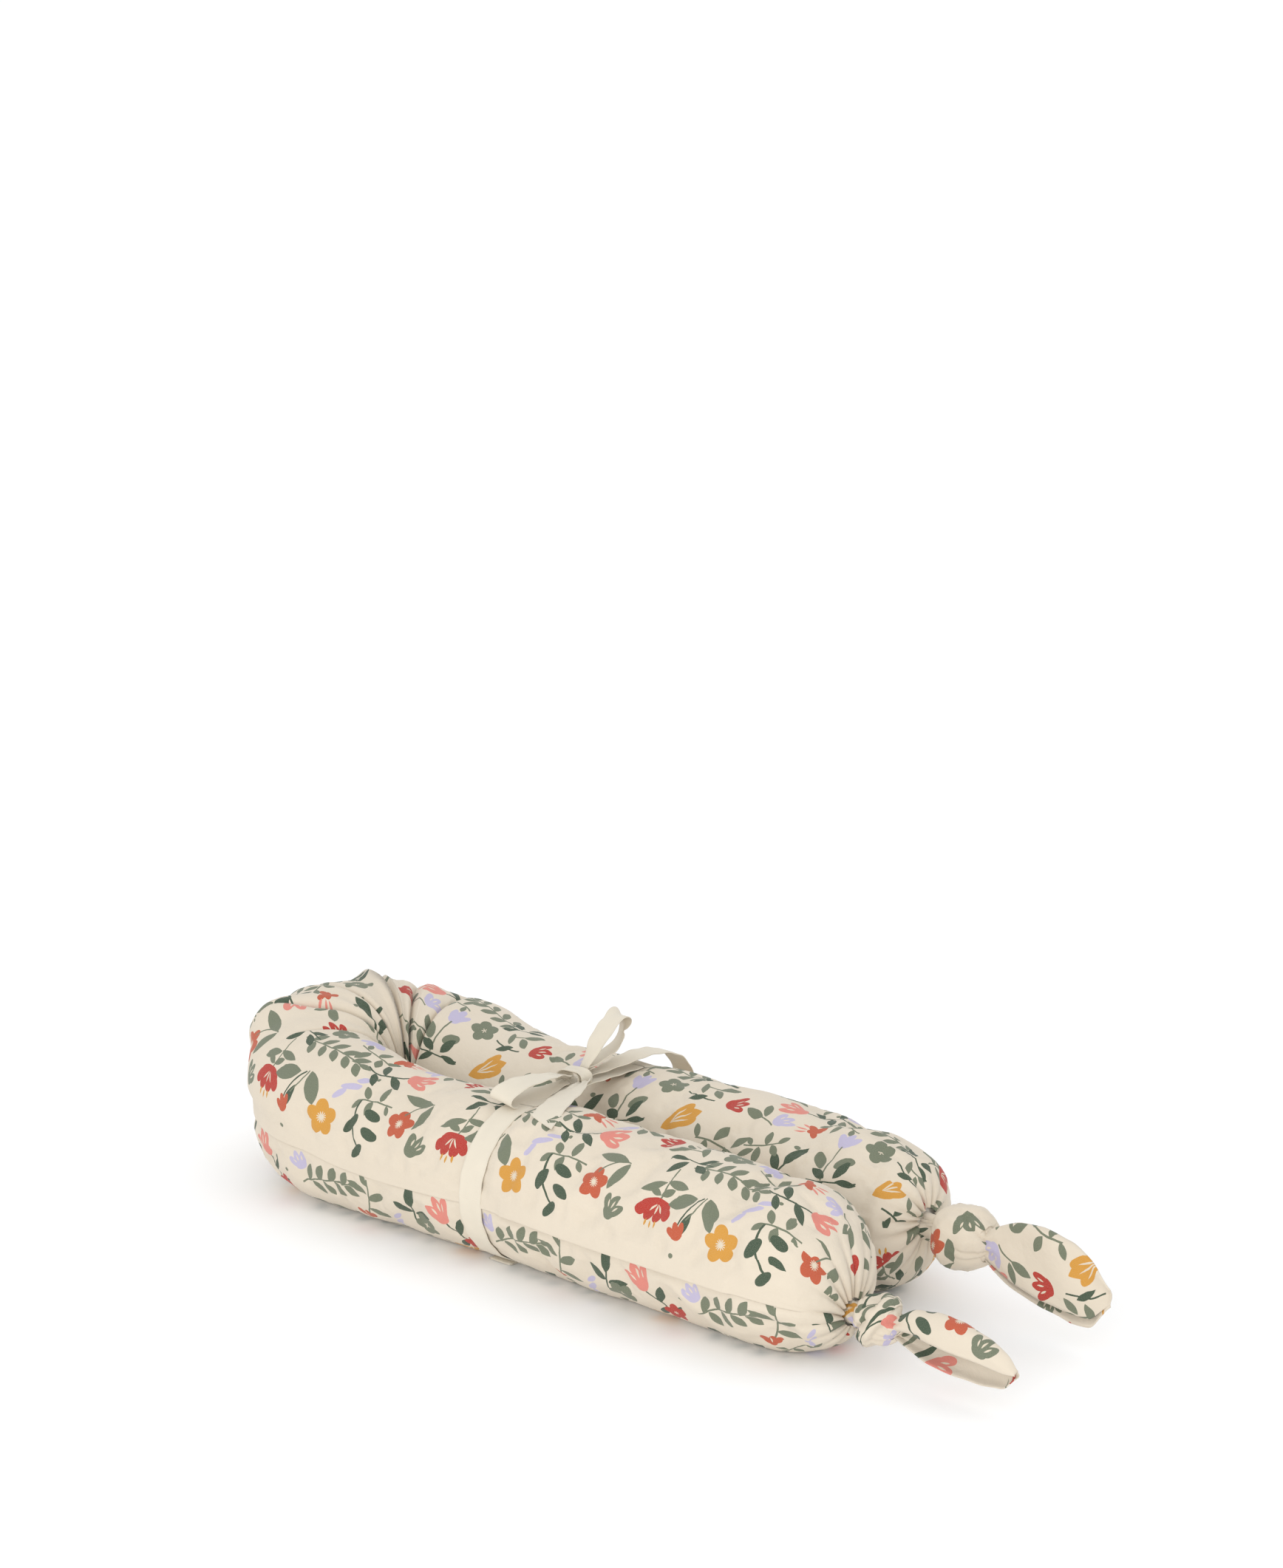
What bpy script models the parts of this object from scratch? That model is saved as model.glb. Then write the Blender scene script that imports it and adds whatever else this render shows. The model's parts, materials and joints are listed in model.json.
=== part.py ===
"""Nursing pillow: a long stuffed cotton tube folded into a U.

Both ends are gathered into a neck and knotted, a cotton tape is tied round the two legs in a bow,
and a concealed zip in the near leg's outer seam opens the cover. Lengths are in metres, +Z is up,
the legs run along +X, the near leg is at -Y and the far leg at +Y. Until the last step the
origin is the centre of the bend, on the floor.
"""

import math

import bmesh
import bpy
from mathutils import Matrix, Vector

# Overall sizes
TUBE_WIDTH = 0.150  # stuffed tube, side to side
TUBE_HEIGHT = 0.146  # stuffed tube, floor to crown
BEND_HEIGHT = 0.164  # the bend bulks up above the legs
LEG_GAP = 0.006  # between the two legs
NEAR_LEG = 0.634  # bend centre to the near neck
FAR_LEG = 0.594  # bend centre to the far neck
END_LENGTH = 0.076  # rounded end that closes in on the neck
FLOOR_SINK = 0.003  # how much of the round section is pressed flat by the floor

# Walls and gaps
COVER_WALL = 0.0012
CASING_WALL = 0.0010
ZIP_ROOM = 0.0023  # between cover and casing
FILL_GAP = 0.0005
CLEAR = 0.0003  # between pieces that meet

# Tie tape and bow
TIE_X = 0.218  # bend centre to the middle of the tape
TAPE_WIDTH = 0.028
TAPE_THICKNESS = 0.0014
KNOT_SIZE = Vector((0.030, 0.028, 0.017))
LOOP_LENGTH = 0.084
LOOP_HEIGHT = 0.022
LOOP_ROOT = 0.0012  # radius of the turn where a loop enters the knot
LOOP_LIFT = math.radians(38)  # how far the far loop stands up
BACK_TAIL_DROP = 0.075  # height of its end above the floor
FRONT_TAIL = 0.100

# Concealed zip
ZIP_TO_SPLIT = 0.033  # from the place where the leg starts to swing to the zip's rear stop
ZIP_TO_END = 0.013  # from the zip's front stop to the start of the rounded end
SLOT = 0.0023  # opening between the two lips of the seam
ZIP_TAPE_WIDTH = 0.012
ZIP_TAPE_THICKNESS = 0.0006
COIL_RADIUS = 0.0008
STOP_LENGTH = 0.003
SLIDER_SIZE = Vector((0.010, 0.0025, 0.006))
PULL_SIZE = Vector((0.020, 0.0012, 0.005))

# Knotted ends
NECK_HOLE = 0.010  # radius of the hole that the cover's end is gathered to
NECK_RADIUS = 0.013
NECK_LENGTH = 0.008
NEAR_NECK_Z = 0.047
FAR_NECK_Z = 0.078
NEAR_KNOT = Vector((0.040, 0.046, 0.046))
FAR_KNOT = Vector((0.052, 0.056, 0.058))
NEAR_TAIL = Vector((0.140, 0.006, 0.050))
FAR_TAIL = Vector((0.140, 0.006, 0.074))

# Care label
LABEL_SIZE = Vector((0.030, 0.0008, 0.020))
LABEL_TO_SPLIT = 0.078

# Fineness
SIDES = 16
BEND_STEPS = 9
END_STEPS = 5

HALF_WIDTH = TUBE_WIDTH / 2
BEND_RADIUS = (TUBE_WIDTH + LEG_GAP) / 2
OUTER_Y = BEND_RADIUS + HALF_WIDTH
GROOVE = TAPE_THICKNESS + 2 * CLEAR
GROOVE_HALF = TAPE_WIDTH / 2 + 0.004
GROOVE_RAMP = 0.010
SPLIT_X = TIE_X + GROOVE_HALF + GROOVE_RAMP + 0.006  # where the legs start to swing
ZIP_START = SPLIT_X + ZIP_TO_SPLIT
ZIP_END = NEAR_LEG - END_LENGTH - ZIP_TO_END
LABEL_X = SPLIT_X + LABEL_TO_SPLIT
BEND_BLEND = 0.120  # length of leg over which the bend's extra height dies out
CASING_INSET = COVER_WALL + ZIP_ROOM
FILL_INSET = CASING_INSET + CASING_WALL + FILL_GAP
SEAM_Z = (TUBE_HEIGHT + FLOOR_SINK) / 2 - FLOOR_SINK
TIE_TOP = TUBE_HEIGHT - GROOVE + CLEAR + TAPE_THICKNESS

COLLECTION = "nursing_pillow"


def material(name, colour, roughness, metallic=0.0):
    """A Principled material, made once for each name."""
    found = bpy.data.materials.get(name)
    if found:
        return found
    made = bpy.data.materials.new(name)
    made.use_nodes = True
    shader = made.node_tree.nodes["Principled BSDF"]
    shader.inputs["Base Color"].default_value = (*colour, 1.0)
    shader.inputs["Roughness"].default_value = roughness
    shader.inputs["Metallic"].default_value = metallic
    made.diffuse_color = (*colour, 1.0)
    return made


def cover_cotton():
    return material("printed_cotton", (0.80, 0.72, 0.60), 0.9)


def casing_cotton():
    return material("casing_cotton", (0.88, 0.87, 0.83), 0.9)


def fibre():
    return material("polyester_fibre", (0.93, 0.93, 0.92), 1.0)


def tape_cotton():
    return material("tape_cotton", (0.82, 0.76, 0.64), 0.85)


def zip_nylon():
    return material("zip_nylon", (0.75, 0.70, 0.60), 0.6)


def zip_metal():
    return material("zip_metal", (0.62, 0.60, 0.56), 0.35, 1.0)


def label_satin():
    return material("label_satin", (0.90, 0.90, 0.88), 0.45)


def add_object(name, data, surface):
    """Put a mesh or curve in the pillow's collection under its node name."""
    made = bpy.data.objects.new(name, data)
    bpy.data.collections[COLLECTION].objects.link(made)
    data.materials.append(surface)
    return made


def finish_mesh(bm, name, surface, smooth=True):
    """Turn a bmesh into an object with its faces pointing out."""
    bmesh.ops.recalc_face_normals(bm, faces=bm.faces)
    mesh = bpy.data.meshes.new(name)
    bm.to_mesh(mesh)
    bm.free()
    if smooth:
        mesh.shade_smooth()
        mesh.set_sharp_from_angle(angle=math.radians(40))
    return add_object(name, mesh, surface)


def smoothstep(value):
    value = min(max(value, 0.0), 1.0)
    return value * value * (3 - 2 * value)


class Station:
    """One cross-section of the tube: where it is, which way is outwards, and its size."""

    def __init__(self, origin, outward, half_width, half_height, centre_z, end_shift=0.0, floor=0.0):
        self.origin = origin
        self.outward = outward
        self.half_width = half_width
        self.half_height = half_height
        self.centre_z = centre_z
        self.end_shift = end_shift  # share of the inset by which a closing end moves back
        self.floor = floor  # lowest height of the outer surface

    def point(self, angle, inset):
        """A point of the outline, set in from the outer surface; angle 0 is the outer side."""
        place = self.origin + self.outward * (self.half_width - inset) * math.cos(angle)
        place.x -= self.end_shift * inset
        rise = (self.half_height - inset) * math.sin(angle)
        place.z = max(self.centre_z + rise, self.floor + inset)
        return place


def leg_station(side, x):
    """The tube's section at x along a leg; side is -1 for the near leg and +1 for the far one."""
    bulk = smoothstep(1 - x / BEND_BLEND) * (BEND_HEIGHT - TUBE_HEIGHT)
    ramp = (GROOVE_HALF + GROOVE_RAMP - abs(x - TIE_X)) / GROOVE_RAMP
    pinch = GROOVE * min(max(ramp, 0.0), 1.0)
    half_height = (TUBE_HEIGHT + FLOOR_SINK + bulk) / 2 - pinch
    centre_z = (TUBE_HEIGHT + FLOOR_SINK + bulk) / 2 - FLOOR_SINK
    origin = Vector((x, side * BEND_RADIUS, 0))
    outward = Vector((0, side, 0))
    return Station(origin, outward, HALF_WIDTH - pinch, half_height, centre_z, floor=pinch)


def bend_station(angle):
    """The tube's section in the bend; angle runs from -90 degrees at the near leg to +90."""
    outward = Vector((-math.cos(angle), math.sin(angle), 0))
    whole = leg_station(1, 0.0)
    return Station(outward * BEND_RADIUS, outward, HALF_WIDTH, whole.half_height, whole.centre_z)


def end_station(side, leg_length, neck_z, angle):
    """The tube's section in the rounded end, as its outline closes from 0 to the neck."""
    whole = leg_station(side, SPLIT_X + GROOVE_RAMP)
    share = math.cos(angle)
    x = leg_length - END_LENGTH + END_LENGTH * math.sin(angle)
    centre_z = neck_z + (whole.centre_z - neck_z) * share
    origin = Vector((x, side * BEND_RADIUS, 0))
    outward = Vector((0, side, 0))
    half_width = NECK_HOLE + (whole.half_width - NECK_HOLE) * share
    half_height = NECK_HOLE + (whole.half_height - NECK_HOLE) * share
    return Station(origin, outward, half_width, half_height, centre_z, math.sin(angle))


def rear_stations():
    """From the near split plane, round the bend, to the far split plane."""
    back = SPLIT_X - CLEAR / 2
    ramp_end = GROOVE_HALF + GROOVE_RAMP
    xs = [back, TIE_X + ramp_end, TIE_X + GROOVE_HALF, TIE_X - GROOVE_HALF, TIE_X - ramp_end]
    xs.append(BEND_BLEND * 0.6)
    near = [leg_station(-1, x) for x in xs]
    quarter = math.pi / 2
    bend = [bend_station(-quarter + math.pi * i / BEND_STEPS) for i in range(BEND_STEPS + 1)]
    far = [leg_station(1, x) for x in reversed(xs)]
    return near + bend + far


def front_stations(side, leg_length, neck_z):
    """From a leg's split plane to its neck."""
    start = SPLIT_X + CLEAR / 2
    end_start = leg_length - END_LENGTH
    stations = [leg_station(side, start), leg_station(side, (start + end_start) / 2)]
    for i in range(END_STEPS + 1):
        stations.append(end_station(side, leg_length, neck_z, math.pi / 2 * i / END_STEPS))
    return stations


def round_angles():
    """All round the section; the two lowest points make a flat foot on the floor."""
    return [2 * math.pi * (i + 0.5) / SIDES for i in range(SIDES)]


def slotted_angles():
    """All round the section but for the slot at its outer side."""
    lip = SLOT / 2 / HALF_WIDTH
    return [lip] + round_angles() + [2 * math.pi - lip]


def skin(bm, stations, angles, inset, closed):
    """A grid of faces over the stations' outlines."""
    rings = [[bm.verts.new(s.point(a, inset)) for a in angles] for s in stations]
    count = len(angles) if closed else len(angles) - 1
    for here, there in zip(rings, rings[1:]):
        for i in range(count):
            j = (i + 1) % len(angles)
            bm.faces.new((here[i], here[j], there[j], there[i]))
    return rings


def point_outwards(bm, stations):
    """Make the faces of an open skin look away from the tube's middle."""
    for face in bm.faces:
        middle = face.calc_center_median()
        station = min(stations, key=lambda s: (s.origin.xy - middle.xy).length)
        core = station.origin + Vector((0, 0, station.centre_z))
        if station.end_shift:
            core.x -= END_LENGTH / 2
        if face.normal.dot(middle - core) < 0:
            face.normal_flip()


def shell(name, stations, angles, inset, wall, surface, closed=True):
    """A thin wall whose outer face is the tube's outline at the given inset."""
    bm = bmesh.new()
    skin(bm, stations, angles, inset, closed)
    bm.normal_update()
    point_outwards(bm, stations)
    mesh = bpy.data.meshes.new(name)
    bm.to_mesh(mesh)
    bm.free()
    mesh.shade_smooth()
    made = add_object(name, mesh, surface)
    solid = made.modifiers.new("wall", "SOLIDIFY")
    solid.thickness = wall
    solid.offset = -1
    solid.use_even_offset = True
    return made


def stuffing(name, stations):
    """The solid mass of fibre inside the casing."""
    bm = bmesh.new()
    rings = skin(bm, stations, round_angles(), FILL_INSET, True)
    bm.faces.new(rings[0])
    bm.faces.new(rings[-1])
    return finish_mesh(bm, name, fibre())


def block(name, size, centre, surface, bevel=0.0, segments=2):
    """A box with rounded edges."""
    bm = bmesh.new()
    bmesh.ops.create_cube(bm, size=1.0)
    place = Matrix.Translation(centre) @ Matrix.Diagonal((*size, 1))
    bmesh.ops.transform(bm, matrix=place, verts=bm.verts)
    made = finish_mesh(bm, name, surface)
    if bevel:
        rounding = made.modifiers.new("rounding", "BEVEL")
        rounding.width = bevel
        rounding.segments = segments
    return made


def ribbon(name, outline, closed, surface, start_x, width=TAPE_WIDTH):
    """A tape of the given width along +X, whose edge follows an outline in Y and Z."""
    bm = bmesh.new()
    left = [bm.verts.new((start_x, y, z)) for y, z in outline]
    right = [bm.verts.new((start_x + width, y, z)) for y, z in outline]
    count = len(outline) if closed else len(outline) - 1
    for i in range(count):
        j = (i + 1) % len(outline)
        bm.faces.new((left[i], left[j], right[j], right[i]))
    made = finish_mesh(bm, name, surface)
    solid = made.modifiers.new("thickness", "SOLIDIFY")
    solid.thickness = TAPE_THICKNESS
    solid.offset = 0
    solid.use_even_offset = True
    return made


def pivot(name, place, parent=None):
    """An empty on a joint's axis."""
    made = bpy.data.objects.new(name, None)
    made.empty_display_size = 0.02
    bpy.data.collections[COLLECTION].objects.link(made)
    made.location = place
    if parent:
        attach(made, parent)
    return made


def world_place(thing):
    """Where an empty stands: the sum of its own and its parents' places."""
    place = thing.location.copy()
    if thing.parent:
        place += world_place(thing.parent)
    return place


def attach(piece, empty):
    """Hang a piece, made at its place in the world, on a joint's empty."""
    piece.location -= world_place(empty)
    piece.parent = empty


def make_cushion_parts(near_pivot, far_pivot):
    """Cover, casing and stuffing of the bend and of each leg."""
    rear = rear_stations()
    shell("rear_cover", rear, round_angles(), 0, COVER_WALL, cover_cotton())
    shell("rear_casing", rear, round_angles(), CASING_INSET, CASING_WALL, casing_cotton())
    stuffing("rear_fill", rear)
    near = front_stations(-1, NEAR_LEG, NEAR_NECK_Z)
    cover = shell("near_cover", near, slotted_angles(), 0, COVER_WALL, cover_cotton(), closed=False)
    attach(cover, near_pivot)
    far = front_stations(1, FAR_LEG, FAR_NECK_Z)
    attach(shell("far_cover", far, round_angles(), 0, COVER_WALL, cover_cotton()), far_pivot)
    for name, stations, empty in (("near", near, near_pivot), ("far", far, far_pivot)):
        inner = stations[:-1]
        casing = shell(f"{name}_casing", inner, round_angles(), CASING_INSET, CASING_WALL, casing_cotton())
        attach(casing, empty)
        attach(stuffing(f"{name}_fill", inner), empty)


def band_outline():
    """The tape's path round both legs: over the crowns, down the outer sides, under the feet."""
    section = leg_station(1, TIE_X)
    out = CLEAR + TAPE_THICKNESS / 2
    outer_half = [a for a in round_angles() if math.cos(a) > 0]
    outer_half.sort(key=math.sin, reverse=True)
    far = [section.point(a, -out) for a in outer_half]
    return [(p.y, p.z) for p in far] + [(-p.y, p.z) for p in reversed(far)]


def make_tie():
    """The band round both legs and the bow's knot on top of it."""
    ribbon("tie_band", band_outline(), True, tape_cotton(), TIE_X - TAPE_WIDTH / 2)
    centre = Vector((TIE_X, 0, TIE_TOP + CLEAR + KNOT_SIZE.z / 2))
    block("bow_knot", KNOT_SIZE, centre, tape_cotton(), bevel=0.004)


def loop_outline(length, height):
    """A teardrop from its root at the origin, out along +Y; its lower side is straight."""
    steps = 6
    radius = (height - LOOP_ROOT) / 2
    points = [(0.0, -LOOP_ROOT), (length * 0.45, -LOOP_ROOT)]
    for i in range(steps + 1):
        turn = -math.pi / 2 + math.pi * i / steps
        height_here = radius - LOOP_ROOT + radius * math.sin(turn)
        points.append((length - radius + radius * math.cos(turn), height_here))
    points.append((length * 0.35, height * 0.80))
    points.append((0.0, LOOP_ROOT))
    points.append((-LOOP_ROOT, 0.0))
    return points


def make_bow():
    """Two loops and two tails; each hangs on a hinge at the knot's side."""
    root_y = KNOT_SIZE.y / 2 + CLEAR + LOOP_ROOT + TAPE_THICKNESS / 2
    root_z = TIE_TOP + CLEAR + LOOP_ROOT + TAPE_THICKNESS / 2
    start_x = TIE_X - TAPE_WIDTH / 2
    lying = [(-root_y - y, root_z + z) for y, z in loop_outline(LOOP_LENGTH, LOOP_HEIGHT)]
    hinge = pivot("bow_loop_left_hinge", (TIE_X, -root_y, root_z))
    attach(ribbon("bow_loop_left", lying, True, tape_cotton(), start_x), hinge)

    high_z = TIE_TOP + KNOT_SIZE.z * 0.75
    cos, sin = math.cos(LOOP_LIFT), math.sin(LOOP_LIFT)
    raised = []
    for y, z in loop_outline(LOOP_LENGTH * 0.75, LOOP_HEIGHT):
        raised.append((root_y + y * cos - z * sin, high_z + y * sin + z * cos))
    hinge = pivot("bow_loop_right_hinge", (TIE_X, root_y, high_z))
    attach(ribbon("bow_loop_right", raised, True, tape_cotton(), start_x), hinge)

    spread = OUTER_Y + 0.010
    crown_y = BEND_RADIUS + HALF_WIDTH * 0.3
    shoulder_y = BEND_RADIUS + HALF_WIDTH * 0.85
    shoulder_z = TUBE_HEIGHT - HALF_WIDTH * 0.2
    back = [(root_y, root_z), (BEND_RADIUS * 0.7, root_z + 0.002), (crown_y, root_z)]
    back += [(shoulder_y, shoulder_z), (spread, TUBE_HEIGHT * 0.72), (spread, BACK_TAIL_DROP)]
    hinge = pivot("bow_tail_back_hinge", (TIE_X, root_y, root_z))
    attach(ribbon("bow_tail_back", back, False, tape_cotton(), start_x), hinge)
    make_front_tail(root_z)


def make_front_tail(base_z):
    """The tail that lies forward and down over the near leg."""
    root_x = TIE_X + KNOT_SIZE.x / 2 + CLEAR + TAPE_THICKNESS / 2
    half = TAPE_WIDTH / 2
    along = Vector((0.5, -0.866, 0))
    across = Vector((along.y, -along.x, 0)) * -half
    middle = Vector((root_x + half, 0, base_z))
    tip = middle + along * FRONT_TAIL
    corners = [Vector((root_x, 0.008, base_z)), middle + across, tip + across, tip - across * 0.8]
    corners.append(Vector((root_x, -0.008, base_z)))
    bm = bmesh.new()
    bm.faces.new([bm.verts.new(c) for c in corners])
    made = finish_mesh(bm, "bow_tail_front", tape_cotton(), smooth=False)
    solid = made.modifiers.new("thickness", "SOLIDIFY")
    solid.thickness = TAPE_THICKNESS
    solid.offset = 0
    hinge = pivot("bow_tail_front_hinge", (root_x, 0, base_z))
    attach(made, hinge)


def rod(name, start, end, radius, surface):
    """A straight round bar with closed ends."""
    curve = bpy.data.curves.new(name, "CURVE")
    curve.dimensions = "3D"
    curve.bevel_depth = radius
    curve.bevel_resolution = 1
    curve.use_fill_caps = True
    line = curve.splines.new("POLY")
    line.points.add(1)
    line.points[0].co = (*start, 1)
    line.points[1].co = (*end, 1)
    return add_object(name, curve, surface)


def make_zip(near_pivot):
    """Two woven tapes under the lips, the coil between them, its stops, the slider and its pull."""
    straight = [leg_station(-1, ZIP_START), leg_station(-1, ZIP_END)]
    tape_inset = COVER_WALL + ZIP_TAPE_THICKNESS
    lip = SLOT / 2 / HALF_WIDTH
    spread = ZIP_TAPE_WIDTH / HALF_WIDTH
    for name, angles in (
        ("zip_tape_upper", (lip, lip + spread)),
        ("zip_tape_lower", (-lip - spread, -lip)),
    ):
        tape = shell(name, straight, angles, tape_inset, ZIP_TAPE_THICKNESS, zip_nylon(), closed=False)
        attach(tape, near_pivot)
    coil_y = -OUTER_Y + COIL_RADIUS + 2 * CLEAR
    coil_start = Vector((ZIP_START + STOP_LENGTH + CLEAR, coil_y, SEAM_Z))
    coil_end = Vector((ZIP_END - STOP_LENGTH - CLEAR, coil_y, SEAM_Z))
    attach(rod("zip_coil", coil_start, coil_end, COIL_RADIUS, zip_nylon()), near_pivot)
    stop_size = Vector((STOP_LENGTH, 2 * COIL_RADIUS, 2 * COIL_RADIUS))
    for name, x in (("zip_stop_rear", ZIP_START), ("zip_stop_front", ZIP_END - STOP_LENGTH)):
        stop = block(name, stop_size, Vector((x + STOP_LENGTH / 2, coil_y, SEAM_Z)), zip_metal())
        attach(stop, near_pivot)

    slider_x = ZIP_END - STOP_LENGTH - SLIDER_SIZE.x / 2
    slider_y = -OUTER_Y - CLEAR - SLIDER_SIZE.y / 2
    slider_centre = Vector((slider_x, slider_y, SEAM_Z))
    track = pivot("zip_slide_track", slider_centre, near_pivot)
    slider = block("zip_slider", SLIDER_SIZE, slider_centre, zip_metal(), bevel=0.0008)
    attach(slider, track)
    pull_y = -OUTER_Y - 2 * CLEAR - SLIDER_SIZE.y - PULL_SIZE.y / 2
    hinge = pivot("zip_pull_hinge", (slider_x, pull_y, SEAM_Z), track)
    pull_centre = Vector((slider_x - PULL_SIZE.x / 2 + CLEAR, pull_y, SEAM_Z))
    attach(block("zip_pull", PULL_SIZE, pull_centre, zip_metal(), bevel=0.0005), hinge)


def knot_body(name, size, centre):
    """A rounded barrel along +X, flat at both ends where the neck and the tail enter."""
    bm = bmesh.new()
    turn = Matrix.Rotation(math.pi / 2, 4, "Y")
    sizes = {"radius1": 0.5, "radius2": 0.5, "depth": 1.0}
    bmesh.ops.create_cone(bm, cap_ends=True, segments=SIDES, matrix=turn, **sizes)
    place = Matrix.Translation(centre) @ Matrix.Diagonal((*size, 1))
    bmesh.ops.transform(bm, matrix=place, verts=bm.verts)
    rims = [e for e in bm.edges if abs(e.verts[0].co.x - e.verts[1].co.x) < CLEAR]
    bmesh.ops.bevel(bm, geom=rims, offset=size.x * 0.3, segments=3, profile=0.5, affect="EDGES")
    return finish_mesh(bm, name, cover_cotton())


def tail_leaf(name, size, root):
    """A flat leaf standing on edge, from its narrow root out along +X to a blunt tip."""
    outline = ((0.0, 0.10), (0.12, 0.14), (0.30, 0.40), (0.55, 0.50), (0.80, 0.44), (0.95, 0.26), (1.0, 0.0))
    upper = [(x * size.x, z * size.z) for x, z in outline]
    lower = [(x, -z) for x, z in reversed(upper[:-1])]
    bm = bmesh.new()
    bm.faces.new([bm.verts.new((root.x + x, root.y, root.z + z)) for x, z in upper + lower])
    made = finish_mesh(bm, name, cover_cotton(), smooth=False)
    solid = made.modifiers.new("two_layers", "SOLIDIFY")
    solid.thickness = size.y
    solid.offset = 0
    return made


def make_end(name, side, leg_length, neck_z, knot_size, tail_size, leg_pivot):
    """Neck, knot and leaf-shaped tail at the end of a leg."""
    y = side * BEND_RADIUS
    bm = bmesh.new()
    place = Matrix.Translation((leg_length + CLEAR + NECK_LENGTH / 2, y, neck_z))
    place @= Matrix.Rotation(math.pi / 2, 4, "Y")
    sizes = {"radius1": NECK_RADIUS, "radius2": NECK_RADIUS, "depth": NECK_LENGTH}
    bmesh.ops.create_cone(bm, cap_ends=True, segments=SIDES, matrix=place, **sizes)
    attach(finish_mesh(bm, f"{name}_neck", cover_cotton()), leg_pivot)
    knot_x = leg_length + NECK_LENGTH + 2 * CLEAR + knot_size.x / 2
    attach(knot_body(f"{name}_knot", knot_size, Vector((knot_x, y, neck_z))), leg_pivot)
    root = Vector((knot_x + knot_size.x / 2 + CLEAR + tail_size.y / 2, y, neck_z))
    hinge = pivot(f"{name}_tail_hinge", root, leg_pivot)
    attach(tail_leaf(f"{name}_tail", tail_size, root), hinge)


def make_label(far_pivot):
    """A blank satin label, sewn into the outer seam of the far leg and standing out from it."""
    centre = Vector((LABEL_X, OUTER_Y + CLEAR + LABEL_SIZE.z / 2, SEAM_Z))
    size = Vector((LABEL_SIZE.x, LABEL_SIZE.z, LABEL_SIZE.y))
    attach(block("care_label", size, centre, label_satin()), far_pivot)


def stand_on_origin():
    """Move everything so that the origin is at the middle of the pillow's footprint."""
    bpy.context.view_layer.update()
    depsgraph = bpy.context.evaluated_depsgraph_get()
    low = Vector((math.inf,) * 3)
    high = -low
    pieces = list(bpy.data.collections[COLLECTION].objects)
    for piece in (p for p in pieces if p.type != "EMPTY"):
        seen = piece.evaluated_get(depsgraph)
        mesh = seen.to_mesh()
        for vertex in mesh.vertices:
            place = seen.matrix_world @ vertex.co
            low = Vector(map(min, low, place))
            high = Vector(map(max, high, place))
        seen.to_mesh_clear()
    shift = Vector(((low.x + high.x) / 2, (low.y + high.y) / 2, low.z))
    for piece in pieces:
        if piece.parent is None:
            piece.location -= shift


def main():
    for old in list(bpy.data.objects):
        bpy.data.objects.remove(old, do_unlink=True)
    bpy.context.scene.collection.children.link(bpy.data.collections.new(COLLECTION))
    near_pivot = pivot("near_leg_pivot", (SPLIT_X, -OUTER_Y, 0))
    far_pivot = pivot("far_leg_pivot", (SPLIT_X, OUTER_Y, 0))
    make_cushion_parts(near_pivot, far_pivot)
    make_tie()
    make_bow()
    make_zip(near_pivot)
    make_end("near", -1, NEAR_LEG, NEAR_NECK_Z, NEAR_KNOT, NEAR_TAIL, near_pivot)
    make_end("far", 1, FAR_LEG, FAR_NECK_Z, FAR_KNOT, FAR_TAIL, far_pivot)
    make_label(far_pivot)
    stand_on_origin()


main()
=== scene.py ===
"""The nursing pillow's looks: printed cotton cover, knotted ends, cotton tape and bow, zip and label."""

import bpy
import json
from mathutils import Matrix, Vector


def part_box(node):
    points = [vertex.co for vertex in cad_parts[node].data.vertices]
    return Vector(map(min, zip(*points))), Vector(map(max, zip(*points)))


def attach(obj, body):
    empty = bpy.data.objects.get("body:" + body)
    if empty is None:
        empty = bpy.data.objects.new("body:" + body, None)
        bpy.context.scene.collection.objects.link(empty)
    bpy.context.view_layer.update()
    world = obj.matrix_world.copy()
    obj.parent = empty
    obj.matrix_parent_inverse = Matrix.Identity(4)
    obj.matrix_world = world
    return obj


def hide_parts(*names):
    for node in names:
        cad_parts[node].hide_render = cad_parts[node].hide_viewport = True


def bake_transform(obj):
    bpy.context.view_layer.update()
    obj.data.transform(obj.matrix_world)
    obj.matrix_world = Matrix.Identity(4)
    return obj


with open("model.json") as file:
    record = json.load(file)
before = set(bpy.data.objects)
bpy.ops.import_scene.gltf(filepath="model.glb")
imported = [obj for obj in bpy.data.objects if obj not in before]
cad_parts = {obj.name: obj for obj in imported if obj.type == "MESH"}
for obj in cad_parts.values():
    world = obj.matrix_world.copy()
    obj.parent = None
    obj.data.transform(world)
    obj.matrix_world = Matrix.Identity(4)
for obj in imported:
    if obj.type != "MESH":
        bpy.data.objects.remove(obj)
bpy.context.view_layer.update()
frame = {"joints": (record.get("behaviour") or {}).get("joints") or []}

import json
import math
from dataclasses import dataclass

import bmesh
import bpy
import numpy as np
from mathutils import Vector, noise

# ---------------------------------------------------------------- places read from the frame

JOINTS = {joint["name"]: joint for joint in frame["joints"]}


def middle(node):
    """The middle of a CAD node's box."""
    low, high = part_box(node)
    return (low + high) / 2


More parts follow.
